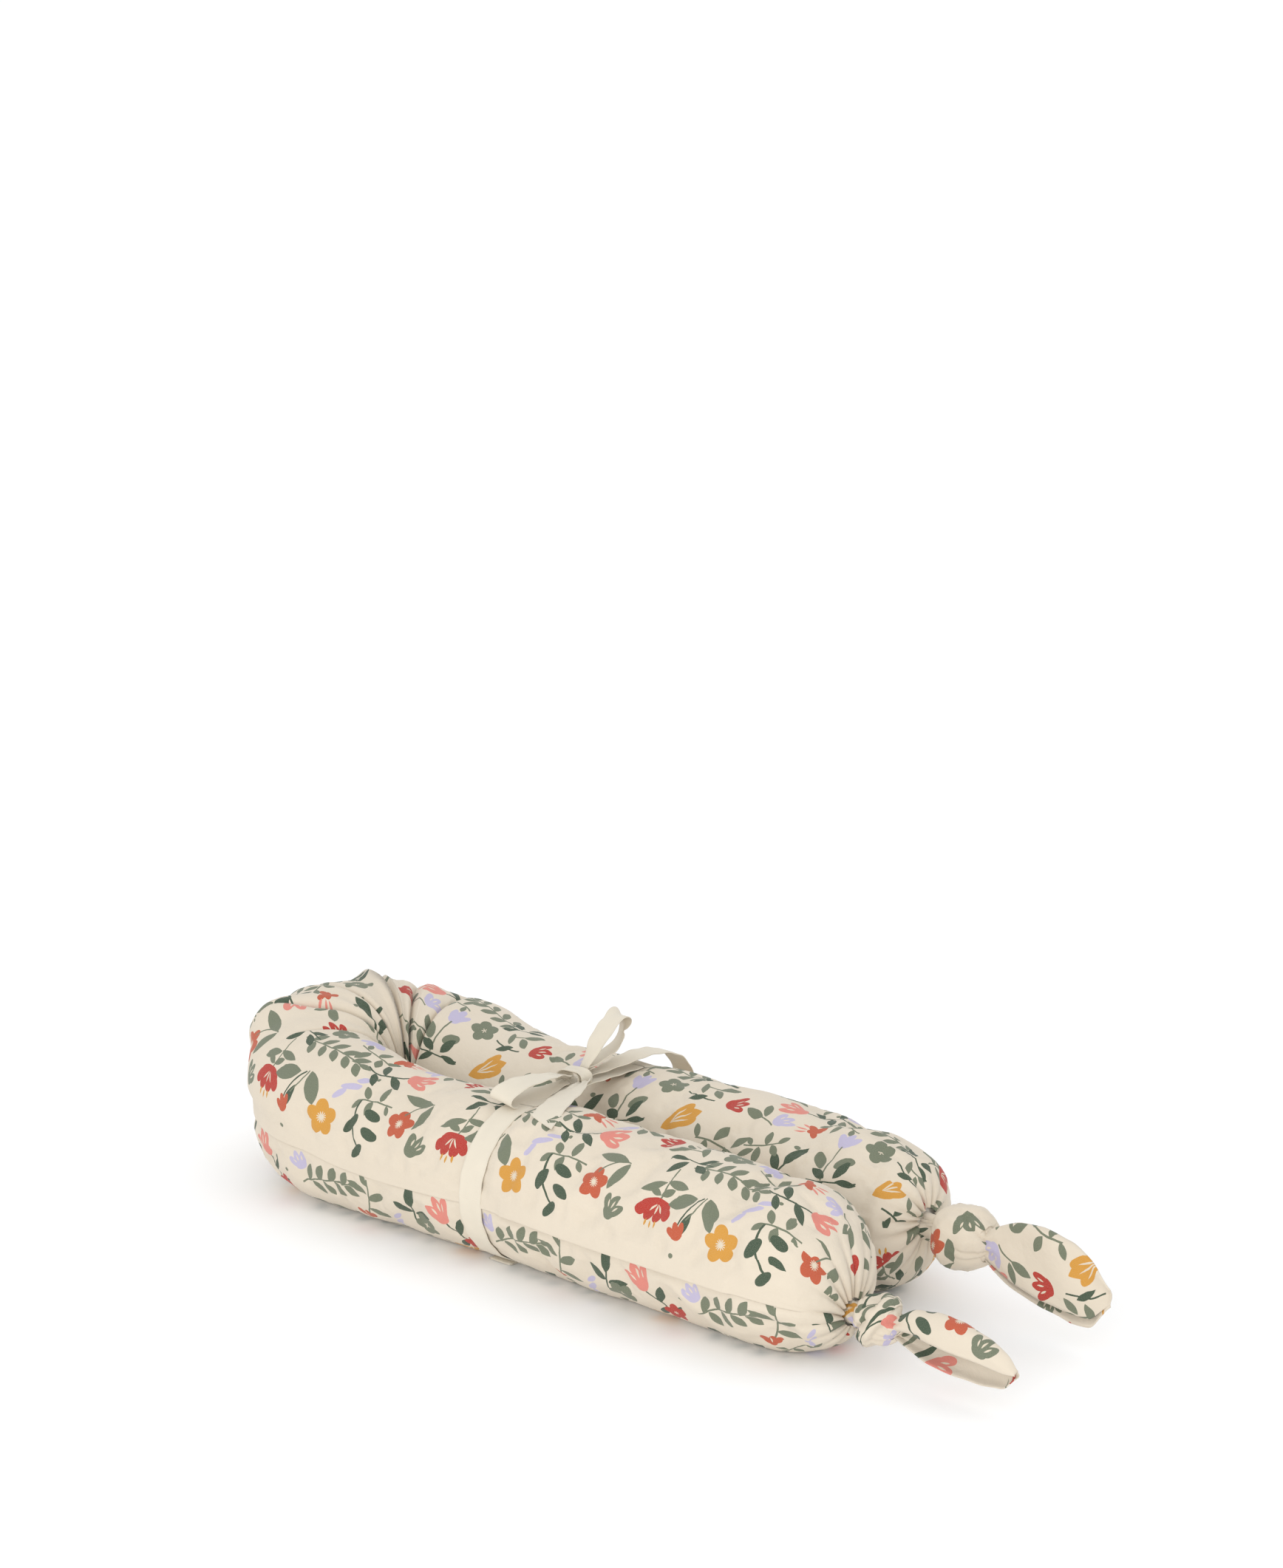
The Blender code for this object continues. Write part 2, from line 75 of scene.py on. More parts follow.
NEAR_KNOT = middle("near_knot")
FAR_KNOT = middle("far_knot")
LEG_RADIUS = (FAR_KNOT.y - NEAR_KNOT.y) / 2  # bend centre to the middle of a leg
MID_Y = (FAR_KNOT.y + NEAR_KNOT.y) / 2
OUTER = MID_Y - JOINTS["near_leg_splay"]["pos_m"][1]  # bend centre to a leg's outer side
HALF_WIDTH = OUTER - LEG_RADIUS
BEND_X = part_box("rear_cover")[0].x + LEG_RADIUS + HALF_WIDTH * math.cos(math.pi / 16)
TIE_X = middle("tie_band").x
KNOT = middle("bow_knot")
BOW_SHIFT = 0.007  # the bow and the tape lie this far in front of the tie band's middle
TIE_PULL = 0.009  # and on the near leg the tape lies this much farther forward
TAPE_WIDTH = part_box("tie_band")[1].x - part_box("tie_band")[0].x
LEG_HEIGHT = 0.147
FLOOR_GAP = 0.0006  # no cloth comes nearer to the floor than this
NEAR_NECK_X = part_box("near_neck")[0].x
FAR_NECK_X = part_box("far_neck")[0].x
BEND_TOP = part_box("rear_cover")[1].z + 0.009

# ---------------------------------------------------------------- camera, floor and light

CAMERA_AZIMUTH = 42.1
CAMERA_ELEVATION = 20.1
CAMERA_DISTANCE = 4.0
CAMERA_LENS = 96.8
CAMERA_TARGET = Vector((BEND_X + 0.300, MID_Y, 0.070))
CAMERA_RAISE = 0.374  # the view's middle lies this far above the target
CAMERA_ASIDE = 0.007


def make_camera():
    azimuth, elevation = math.radians(CAMERA_AZIMUTH), math.radians(CAMERA_ELEVATION)
    ahead = Vector((-math.sin(azimuth), math.cos(azimuth), 0))
    right = Vector((ahead.y, -ahead.x, 0))
    back = -ahead * math.cos(elevation) + Vector((0, 0, math.sin(elevation)))
    camera = bpy.data.objects.new("camera", bpy.data.cameras.new("camera"))
    bpy.context.scene.collection.objects.link(camera)
    camera.location = CAMERA_TARGET + back * CAMERA_DISTANCE
    aim = CAMERA_TARGET + back.cross(right) * CAMERA_RAISE + right * CAMERA_ASIDE
    camera.rotation_mode = "QUATERNION"
    camera.rotation_quaternion = (aim - camera.location).to_track_quat("-Z", "Y")
    camera.data.lens = CAMERA_LENS
    camera.data.sensor_width = 36
    camera.data.clip_end = 50
    bpy.context.scene.camera = camera


def area_light(name, place, aim, size, energy, colour):
    data = bpy.data.lights.new(name, "AREA")
    data.shape = "DISK"
    data.size = size
    data.energy = energy
    data.color = colour
    light = bpy.data.objects.new(name, data)
    light.location = place
    light.rotation_mode = "QUATERNION"
    light.rotation_quaternion = (aim - place).to_track_quat("-Z", "Y")
    bpy.context.scene.collection.objects.link(light)


def make_studio():
    """A white floor, an even white sky and two large soft lights."""
    bpy.ops.mesh.primitive_plane_add(size=30, location=(0, 0, -0.0005))
    floor = bpy.context.object
    floor.name = "floor"
    paper = bpy.data.materials.new("floor_paper")
    paper.use_nodes = True
    shader = paper.node_tree.nodes["Principled BSDF"]
    shader.inputs["Base Color"].default_value = (0.97, 0.97, 0.97, 1)
    shader.inputs["Roughness"].default_value = 1.0
    shader.inputs["Specular IOR Level"].default_value = 0.0
    floor.data.materials.append(paper)
    world = bpy.data.worlds.new("studio")
    bpy.context.scene.world = world
    world.use_nodes = True
    sky = world.node_tree.nodes["Background"]
    sky.inputs["Color"].default_value = (0.985, 0.992, 1.0, 1)
    sky.inputs["Strength"].default_value = 1.07
    aim = Vector((0, 0, 0.05))
    area_light("key", Vector((1.5, -2.8, 0.85)), aim, 1.8, 33, (1.0, 0.97, 0.93))
    area_light("top", Vector((-0.8, 1.0, 3.0)), aim, 2.6, 2, (0.95, 0.98, 1.0))
    scene = bpy.context.scene
    scene.view_settings.view_transform = "Standard"
    scene.view_settings.look = "None"


# ---------------------------------------------------------------- the cover

AROUND = 132  # points round the tube
STEP = 0.0038  # between sections along a leg
END_LENGTH = 0.078
END_ROWS = 22
NECK_HOLE = 0.013
ZIP_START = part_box("zip_stop_rear")[0].x
ZIP_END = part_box("zip_stop_front")[1].x
PLEATS = (  # angle round the bend in degrees, width in degrees, depth
    (-30, 3.4, 0.010),
    (-2, 2.4, 0.008),
    (29, 2.2, 0.019),
    (49, 2.6, 0.010),
    (74, 3.0, 0.006),
    (-58, 3.0, 0.003),
)


def smooth(value):
    value = np.clip(value, 0.0, 1.0)
    return value * value * (3 - 2 * value)


@dataclass
class Section:
    """One section of the tube: its middle, outward side, half sizes, and place along the cloth."""

    place: Vector
    outward: Vector
    half_width: float
    half_height: float
    centre_z: float
    along: float
    kind: str  # leg, bend or end
    value: float  # distance past the bend, or the angle round the bend or into the end
    side: int  # -1 for the near leg, +1 for the far one
    box: float = 0.0  # 0 for an oval section, towards 1 for a squarer one
    lean: float = 0.0  # how far the top hangs outwards over the foot


def tie_place(side):
    """Where the tape goes round a leg: it is pulled forward on the near one."""
    return TIE_X + BOW_SHIFT + (TIE_PULL if side < 0 else 0.0)


def leg_section(side, x):
    """x is measured from the bend's middle line; side is -1 for the near leg, +1 for the far one."""
    bulk = float(smooth(1 - x / 0.06)) * (BEND_TOP - LEG_HEIGHT) * 0.35
    bulk -= 0.007 * math.exp(-(((x - 0.10) / 0.07) ** 2))
    if side < 0:
        bulk += 0.006 * math.exp(-(((x - 0.28) / 0.06) ** 2))
    tie = math.exp(-(((x - (tie_place(side) - BEND_X)) / 0.026) ** 2))
    half_height = (LEG_HEIGHT + 0.004 + bulk) / 2 - 0.0035 * tie
    centre_z = (LEG_HEIGHT + 0.004 + bulk) / 2 - 0.004
    place = Vector((BEND_X + x, MID_Y + side * LEG_RADIUS, 0))
    half_width = HALF_WIDTH - 0.0025 * tie
    along = math.pi / 2 * OUTER + x
    box = 0.10 * float(smooth(1 - x / 0.12))
    outward = Vector((0, side, 0))
    return Section(place, outward, half_width, half_height, centre_z, along, "leg", x, side, box)


def bend_section(angle):
    """angle runs from -90 degrees at the near leg to +90 at the far leg."""
    outward = Vector((-math.cos(angle), math.sin(angle), 0))
    whole = leg_section(1, 0.0)
    place = Vector((BEND_X, MID_Y, 0)) + outward * LEG_RADIUS
    side = -1 if angle < 0 else 1
    along = abs(angle) * OUTER
    bulk = math.cos(angle) ** 2
    half_height = whole.half_height + 0.5 * bulk * (BEND_TOP - 2 * whole.half_height + 0.004)
    centre_z = half_height - 0.004
    box = 0.10 + 0.16 * bulk
    return Section(
        place, outward, HALF_WIDTH, half_height, centre_z, along, "bend", angle, side, box, 0.20 * bulk
    )


def end_section(side, length, neck_z, turn):
    """The rounded end, closing in on the neck as turn goes from 0 to 90 degrees."""
    whole = leg_section(side, length - END_LENGTH)
    share = math.cos(turn) ** 0.9
    x = length - END_LENGTH + END_LENGTH * math.sin(turn)
    half_width = NECK_HOLE + (whole.half_width - NECK_HOLE) * share
    half_height = NECK_HOLE + (whole.half_height - NECK_HOLE) * share
    centre_z = neck_z + (whole.centre_z - neck_z) * math.cos(turn) ** 0.8
    place = Vector((BEND_X + x, MID_Y + side * LEG_RADIUS, 0))
    along = whole.along + turn * (END_LENGTH + HALF_WIDTH) / 2
    outward = Vector((0, side, 0))
    return Section(place, outward, half_width, half_height, centre_z, along, "end", turn, side)


def bend_angles():
    """Even steps round the bend, closer together at each pleat."""
    angles = list(np.linspace(-90, 90, 61))
    for centre, width, _ in PLEATS:
        angles += [centre + width * k for k in (-0.9, -0.45, -0.2, 0, 0.2, 0.45, 0.9)]
    angles.sort()
    least = 0.45
    kept = [angles[0]]
    for angle in angles[1:-1]:
        if angle - kept[-1] > least:
            kept.append(angle)
    if 90 - kept[-1] < least:
        kept.pop()
    return [math.radians(a) for a in kept + [90.0]]


def leg_sections(side, neck_x, neck_z):
    length = neck_x - BEND_X
    straight = length - END_LENGTH
    count = round(straight / STEP)
    sections = [leg_section(side, straight * (i + 1) / count) for i in range(count)]
    turns = [math.pi / 2 * (i + 1) / END_ROWS for i in range(END_ROWS)]
    return sections + [end_section(side, length, neck_z, turn) for turn in turns]


def all_sections():
    near = leg_sections(-1, NEAR_NECK_X, middle("near_neck").z)
    far = leg_sections(1, FAR_NECK_X, middle("far_neck").z)
    return list(reversed(near)) + [bend_section(a) for a in bend_angles()] + far


def outline(section, angles):
    """Points of one section; angle 0 is the outer side, 90 degrees the crown."""
    power = 1 - section.box
    side = section.half_width * np.sign(np.cos(angles)) * np.abs(np.cos(angles)) ** power
    rise = section.half_height * np.sign(np.sin(angles)) * np.abs(np.sin(angles)) ** power
    side = side + section.lean * rise
    points = np.empty((len(angles), 3))
    points[:, 0] = section.place.x + section.outward.x * side
    points[:, 1] = section.place.y + section.outward.y * side
    points[:, 2] = section.centre_z + rise
    return points


noise.seed_set(7)  # for noise_vector, which would otherwise take its seed from the clock


def lump(point, scale, seed):
    return noise.noise(Vector(point) / scale + Vector((seed * 7.1, seed * 3.3, seed * 5.7)))


RIDGES = (  # angle round the bend and its width, angle up the section and its width, height
    (-29, 8, 52, 30, 0.013),
    (-8, 5, 60, 34, 0.003),
    (24, 3.5, 84, 34, 0.008),
    (33, 2.0, 95, 40, 0.003),
    (58, 5, 80, 34, 0.004),
)


def ridge_lift(section, angles):
    """Corners and folds that stand up from the bend where the cloth has nowhere else to go."""
    here, up = math.degrees(section.value), np.degrees(angles)
    lift = np.zeros(len(angles))
    for centre, width, height_angle, spread, rise in RIDGES:
        lift += rise * math.exp(-(((here - centre) / width) ** 2)) * np.exp(-(((up - height_angle) / spread) ** 2))
    return lift


def pleat_push(section, angles):
    """How far the radial pleats draw the cloth in, deepest at the inner side of the bend."""
    degrees = math.degrees(section.value)
    reach = smooth((1 - np.cos(angles)) / 1.25) * smooth((np.sin(angles) + 0.5) / 0.8)
    push = np.zeros(len(angles))
    for centre, width, depth in PLEATS:
        away = (degrees - centre) / width
        push += depth * (math.exp(-abs(away) * 1.8) - 0.28 * math.exp(-((abs(away) - 2.2) ** 2)))
    return push * reach


GATHERS = 17  # pleats at each neck
WRINKLES = 22  # creases on each side of the tape


def apart(angles, centre):
    """How far angles lie from a centre, round the circle."""
    return np.abs((angles - centre + math.pi) % (2 * math.pi) - math.pi)


def gather_centre(k, side):
    """One gather's random share, and its angle round the end."""
    random = lump((k * 1.7, side * 2.0, 0.3), 1.0, 3)
    return random, 2 * math.pi * (k + 0.5 * random) / GATHERS


def gather_push(section, angles):
    """Pleats that run into a neck: many narrow grooves, each of its own depth and length."""
    near = section.value / (math.pi / 2)
    push = np.zeros(len(angles))
    for k in range(GATHERS):
        random, centre = gather_centre(k, section.side)
        start = 0.25 + 0.35 * abs(lump((k * 2.3, section.side * 1.1, 4.0), 1.0, 9))
        grow = float(smooth((near - start) / (1 - start)))
        push += 0.0075 * grow * (0.6 + 0.8 * abs(random)) * np.exp(-apart(angles, centre) / 0.085)
    return push


def gather_centres(side):
    return sorted(gather_centre(k, side)[1] % (2 * math.pi) for k in range(GATHERS))


def outward_normals(along, around, points):
    normal = np.cross(around, along)
    normal /= np.maximum(np.linalg.norm(normal, axis=2, keepdims=True), 1e-12)
    return normal if np.sum(normal * (points - points.mean(axis=1, keepdims=True))) >= 0 else -normal


def closed_normals(points):
    """Outward normals of a grid that is closed the second way."""
    around = np.roll(points, -1, axis=1) - np.roll(points, 1, axis=1)
    return outward_normals(np.gradient(points, axis=0), around, points)


def open_normals(points):
    """Outward normals of an open grid."""
    return outward_normals(np.gradient(points, axis=0), np.gradient(points, axis=1), points)
SIM_STEP = 2  # the cloth is simulated on every second point of the grid
SIM_FRAMES = 16
SIM_CAP = 0.006  # how far the simulation may move a point
SIM_SETTINGS = {
    "quality": 4,
    "mass": 0.15,
    "tension_stiffness": 30,
    "compression_stiffness": 30,
    "shear_stiffness": 10,
    "bending_stiffness": 0.2,
    "use_pressure": True,
    "uniform_pressure_force": 3.0,
    "vertex_group_mass": "pin",
    "shrink_min": -0.03,
}

def simulated(sections, points, normal):
    """Lets Blender's cloth settle over the filling's pressure, and returns how far each point moves.

    The cloth is held at the necks, under the tape and along the zip, and settles less near the floor.
    """
    rows = list(range(0, len(sections), SIM_STEP))
    coarse = points[rows][:, ::SIM_STEP]
    wide = coarse.shape[1]
    test = bpy.data.materials.new("cloth_test")
    made = add_mesh("cloth_test", coarse.reshape(-1, 3), grid_faces(len(rows), wide, True), test)
    hold = np.zeros(coarse.shape[:2])
    hold[:, [j for j in range(wide) if min(j, wide - j) * SIM_STEP <= 2]] = 1
    for i, row in enumerate(rows):
        section = sections[row]
        from_tie = abs(section.place.x - tie_place(section.side))
        if section.kind == "leg" and from_tie < TAPE_WIDTH * 0.7 or section.kind == "end" and section.value > 0.9:
            hold[i] = 1
    pin = made.vertex_groups.new(name="pin")
    for k, weight in enumerate(hold.reshape(-1)):
        pin.add([k], float(weight), "REPLACE")
    cloth = made.modifiers.new("cloth", "CLOTH")
    for key, value in SIM_SETTINGS.items():
        setattr(cloth.settings, key, value)
    cloth.settings.effector_weights.gravity = 0
    cloth.collision_settings.use_collision = False
    cloth.collision_settings.use_self_collision = False
    cloth.point_cache.frame_end = SIM_FRAMES
    scene = bpy.context.scene
    for frame_number in range(1, SIM_FRAMES + 1):
        scene.frame_set(frame_number)
    held = made.evaluated_get(bpy.context.evaluated_depsgraph_get())
    found = np.empty(coarse.size, dtype=np.float32)
    held.to_mesh().vertices.foreach_get("co", found)
    held.to_mesh_clear()
    bpy.data.objects.remove(made)
    scene.frame_set(1)
    moved = found.reshape(coarse.shape).astype(float) - coarse
    out = np.clip(np.sum(moved * normal[rows][:, ::SIM_STEP], axis=2), -SIM_CAP, SIM_CAP)
    out = out * (0.15 + 0.85 * smooth((coarse[:, :, 2] - 0.004) / 0.035))
    return spread_out(out, rows, points.shape[:2])


def spread_out(coarse, rows, shape):
    """A coarse field of values carried to every point of the grid."""
    columns = np.arange(0, shape[1] + 1, SIM_STEP)
    closed = np.concatenate([coarse, coarse[:, :1]], axis=1)
    wide = np.stack([np.interp(np.arange(shape[1]), columns, line) for line in closed])
    return np.stack([np.interp(np.arange(shape[0]), rows, wide[:, j]) for j in range(shape[1])], 1)


LIP_OUT = 0.0049  # the upper panel's edge stands this far out over the closed zip
LIP_PLAIN = 0.0011  # and this far where the two panels are only sewn
LIP_PROFILE = (  # height along the cloth and distance in from the lip's outer face
    (0.0020, 0.0040), (-0.0038, 0.0014), (-0.0050, 0.0010), (-0.0055, 0.0006), (-0.0052, 0.0002),
    (-0.0042, 0.0000), (-0.0020, 0.0000),
)
UNDER_PROFILE = ((-0.0030, 0.0), (-0.0023, 0.0004), (-0.0026, 0.0016))


def lip_out(section):
    """How far the lip stands out at a section, most where it hides the zip."""
    if section.kind == "leg" and section.side < 0:
        x = section.place.x
        over = smooth((x - ZIP_START + 0.020) / 0.016) * smooth((ZIP_END + 0.014 - x) / 0.012)
        return LIP_PLAIN + float(over) * (LIP_OUT - LIP_PLAIN)
    if section.kind == "end":
        return LIP_PLAIN * math.cos(section.value)
    return LIP_PLAIN


def tie_wrinkles(section, angles):
    """Short creases that run away from the tape on both sides."""
    push = np.zeros(len(angles))
    tie = tie_place(section.side)
    away = max(abs(section.place.x - tie) - TAPE_WIDTH / 2, 0)
    if away > 0.09:
        return push
    front = 1 if section.place.x > tie else -1
    for k in range(WRINKLES):
        random = lump((k * 1.9, section.side * 3.0, 0.6), 1.0, 5)
        centre = 2 * math.pi * (k + 0.9 * random) / WRINKLES + 0.12 * front + 2.2 * random * away
        long = 0.020 + 0.035 * abs(lump((k * 2.9, section.side, front * 2.0), 1.0, 6))
        push += 0.0011 * math.exp(-((away / long) ** 2)) * np.exp(-((apart(angles, centre) / 0.05) ** 2))
    return push


def drawn_in(section, angles):
    """How far the cloth lies inside the plain form, from its pleats, folds, gathers and creases."""
    if section.kind == "bend":
        return pleat_push(section, angles) - ridge_lift(section, angles)
    return (gather_push if section.kind == "end" else tie_wrinkles)(section, angles)


def cover_grid():
    """The whole cover: sections by columns, closed round the tube before the zip's edges are added."""
    sections = all_sections()
    angles = np.arange(AROUND) * 2 * math.pi / AROUND
    smoothed = np.stack([outline(s, angles) for s in sections])
    normal = closed_normals(smoothed)
    push = np.stack([drawn_in(s, angles) for s in sections])
    swell = np.empty(push.shape)
    for place in np.ndindex(push.shape):
        stretched = smoothed[place] * (1, 1.6, 1.6)
        swell[place] = 0.0022 * lump(stretched, 0.11, 1) + 0.0013 * lump(stretched, 0.045, 2)
    swell *= smooth(apart(angles, 0.0) * HALF_WIDTH / 0.04)
    for i, section in enumerate(sections):
        if section.kind == "leg":
            away = (section.place.x - tie_place(section.side) - 0.006) / 0.055
            swell[i] *= 1 - 0.95 * math.exp(-(away**2))
    points = smoothed + normal * (swell - push)[:, :, None]
    points = points + normal * simulated(sections, points, normal)[:, :, None]
    points[:, :, 2] = np.maximum(points[:, :, 2], FLOOR_GAP)
    return sections, angles, smoothed, points, normal


def with_lip(sections, points, normal):
    """Opens the grid at the seam: the lip's folded edge before it and the lower panel's edge after it."""
    upward = points[:, 1] - points[:, -1]
    upward /= np.linalg.norm(upward, axis=1, keepdims=True)
    out = normal[:, 0]
    seam = (points[:, 1] + points[:, -1]) / 2
    stand = np.array([lip_out(s) for s in sections])[:, None]
    columns = []
    for height, inward in LIP_PROFILE:
        columns.append(seam + upward * height + out * (stand + 0.0004 - inward * (0.3 + 0.7 * stand / LIP_OUT)))
    body = points.copy()
    for j in range(6):
        body[:, j] = body[:, j] + out * stand * float(smooth(1 - j / 5.5))
    tail = [seam + upward * height - out * inward for height, inward in UNDER_PROFILE]
    return np.concatenate([np.stack(columns, 1), body, np.stack(tail, 1)], axis=1)


def arc_lengths(smoothed):
    """Distance round each section from the seam, one more column than the grid has."""
    steps = np.linalg.norm(np.roll(smoothed, -1, axis=1) - smoothed, axis=2)
    return np.concatenate([np.zeros((len(smoothed), 1)), np.cumsum(steps, axis=1)], axis=1)


def cloth_places(sections, angles, smoothed):
    """Where each grid face's corners lie on the flat cloth, for the print.

    Between two pleats the print keeps its size, and it jumps at the pleat, as folded cloth does.
    """
    arcs = arc_lengths(smoothed)
    leg = next(i for i, s in enumerate(sections) if s.kind == "leg" and s.value > 0.1)
    standard = arcs[leg]
    girth = standard[-1]
    extra = len(LIP_PROFILE)
    wide = extra + AROUND + len(UNDER_PROFILE)
    heights = [h for h, _ in LIP_PROFILE]
    radius = np.hypot(smoothed[:, :, 0] - BEND_X, smoothed[:, :, 1] - MID_Y)
    pleats = [-90.0] + sorted(centre for centre, _, _ in PLEATS) + [90.0]
    gathers = {side: gather_centres(side) for side in (-1, 1)}
    switch = int(AROUND * 0.62)
    places = np.zeros((len(sections) - 1, wide - 1, 4, 2))
    for i in range(len(sections) - 1):
        pair = (sections[i], sections[i + 1])
        bend = [s for s in pair if s.kind == "bend"]
        cell = None
        if len(bend) == 2:
            mid = math.degrees((pair[0].value + pair[1].value) / 2)
            low = max(p for p in pleats if p <= mid)
            high = min(p for p in pleats if p > mid)
            cell = -90.0 if low == -90 else 90.0 if high == 90 else (low + high) / 2
        for j in range(wide - 1):
            body = j - extra
            for corner, (di, dj) in enumerate(((0, 0), (0, 1), (1, 1), (1, 0))):
                section = sections[i + di]
                column = body + dj
                if column < 0:
                    around = heights[j + dj]
                    at = 0
                elif column >= AROUND:
                    around = girth + UNDER_PROFILE[column - AROUND][0]
                    at = AROUND - 1
                else:
                    at = column
                    arc = arcs[i + di]
                    if section.kind == "end":
                        around = gathered_place(body + 0.5, column, arc, standard, gathers[section.side])
                    elif body + 1 <= switch:
                        around = arc[column]
                    else:
                        around = girth - (arc[-1] - arc[column])
                run = -section.side * section.along
                if cell is not None:
                    local = max(radius[i + di, at], 0.022)
                    run = -math.radians(cell) * OUTER - (section.value - math.radians(cell)) * local
                places[i, j, corner] = (run, around)
    return places


def gathered_place(face, column, arc, standard, centres):
    """Place round the cloth inside a gathered end, kept to size between two folds."""
    angle = face * 2 * math.pi / AROUND
    low = max([c for c in centres if c <= angle], default=0.0)
    high = min([c for c in centres if c > angle], default=2 * math.pi)
    mid = min(AROUND, max(0, round((low + high) / 2 * AROUND / (2 * math.pi))))
    return standard[mid] + arc[column] - arc[mid]


def leg_parts(sections):
    """The two pieces that the cover, the casing and the filling each come in: name, first and last row, side."""
    middle_row = next(i for i, s in enumerate(sections) if s.kind == "bend" and s.value >= 0)
    return (("near", 0, middle_row, -1), ("far", middle_row, len(sections) - 1, 1))


def finish_padding(made, name, kind, side):
    """Bakes a piece's placement into its mesh and hides the CAD parts it stands for; the near one stands for the bend
    as well.
    """
    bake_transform(made)
    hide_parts(*([f"rear_{kind}"] if side < 0 else []), f"{name}_{kind}")


def make_cover(cloth):
    sections, angles, smoothed, bare, normal = cover_grid()
    places = cloth_places(sections, angles, smoothed)
    points = with_lip(sections, bare, normal)
    shading = open_normals(points)
    for name, first, last, side in leg_parts(sections):
        part = points[first : last + 1]
        faces = grid_faces(len(part), points.shape[1], False)
        made = add_mesh(f"{name}_cover_cloth", part.reshape(-1, 3), faces, cloth)
        lay_cloth(made, places[first:last])
        made.data.normals_split_custom_set_from_vertices(shading[first : last + 1].reshape(-1, 3).tolist())
        finish_padding(made, name, "cover", side)
    return sections, bare, normal


def lay_cloth(made, places):
    """Writes each face corner's place on the flat cloth, in metres, to the piece's UV map."""
    layer = made.data.uv_layers.new(name="cloth")
    layer.data.foreach_set("uv", np.asarray(places, dtype=float).reshape(-1))


def add_mesh(name, verts, faces, material):
    mesh = bpy.data.meshes.new(name)
    mesh.from_pydata([tuple(v) for v in verts], [], faces)
    mesh.update()
    made = bpy.data.objects.new(name, mesh)
    bpy.context.scene.collection.objects.link(made)
    mesh.materials.append(material)
    mesh.shade_smooth()
    return made


def grid_faces(rows, columns, closed, start=0):
    faces = []
    for i in range(start, start + rows - 1):
        for j in range(columns if closed else columns - 1):
            k = (j + 1) % columns
            faces.append((i * columns + j, i * columns + k, (i + 1) * columns + k, (i + 1) * columns + j))
    return faces


# ---------------------------------------------------------------- the printed flowers

INKS = {
    "sage": (0.138, 0.162, 0.108),
    "dark": (0.034, 0.066, 0.038),
    "red": (0.400, 0.022, 0.014),
    "rust": (0.450, 0.075, 0.028),
    "gold": (0.560, 0.265, 0.032),
    "pink": (0.640, 0.205, 0.165),
    "lilac": (0.455, 0.420, 0.575),
    "cream": (0.640, 0.560, 0.440),
}
CREAM = (0.655, 0.580, 0.472)
REPEAT = 252.0  # the print's repeat along the cloth, in millimetres


def petals(ink, count, reach, long, wide, start=90.0):
    shapes = []
    for k in range(count):
        angle = start + 360.0 * k / count
        x = reach * math.cos(math.radians(angle))
        y = reach * math.sin(math.radians(angle))
        shapes.append((ink, "oval", x, y, angle, long, wide))
    return shapes


def blossom(ink, size):
    return petals(ink, 5, 8.6 * size, 15.5 * size, 13.0 * size) + [
        ("cream", "rays", 0, 0, 3.6 * size, 1.5 * size, 13)
    ]


def fern(ink, pairs, gap, leaf):
    """Paired leaves on a curved stem, from the left to the tip on the right."""
    long = gap * pairs
    shapes = [(ink, "stem", -long / 2 - 6, -3, long / 2, 2, 4.0, 1.1)]
    for k in range(pairs):
        x = -long / 2 + gap * (k + 0.25)
        lift = 4.0 * (1 - (2 * x / long) ** 2) - 1
        shapes.append((ink, "leaf", x, lift, 62 - 5 * k, leaf, leaf * 0.44))
        shapes.append((ink, "leaf", x + gap * 0.35, lift, -58 + 4 * k, leaf * 0.95, leaf * 0.42))
    shapes.append((ink, "leaf", long / 2 - 2, 2, 5, leaf * 0.8, leaf * 0.32))
    return shapes


def tulip(ink, size, ticks="cream"):
    """A flower seen from the side, opening upwards; its foot is at the origin."""
    shapes = [
        (ink, "oval", 0, 9 * size, 90, 18 * size, 19 * size),
        (ink, "oval", -8 * size, 14 * size, 118, 21 * size, 10 * size),
        (ink, "oval", 0, 18 * size, 90, 20 * size, 10 * size),
        (ink, "oval", 8 * size, 14 * size, 62, 21 * size, 10 * size),
    ]
    if ticks:
        shapes += [
            (ticks, "leaf", -4 * size, 11 * size, 112, 8 * size, 1.7 * size),
            (ticks, "leaf", 0.5 * size, 12 * size, 88, 9 * size, 1.7 * size),
            (ticks, "leaf", 5 * size, 11 * size, 66, 8 * size, 1.7 * size),
        ]
    return shapes


def drawn(text):
    """A motif from lines of shapes of one ink, in millimetres and degrees:

    leaf, from its foot: x y direction length width; oval, from its middle: the same;
    stem: x y at each end, bulge, thickness; rays: x y radius ray count.
    """
    shapes = []
    for line in text.strip().splitlines():
        ink, parts = line.split(":")
        for part in parts.split(","):
            kind, *numbers = part.split()
            shapes.append((ink.strip(), kind, *map(float, numbers)))
    return shapes


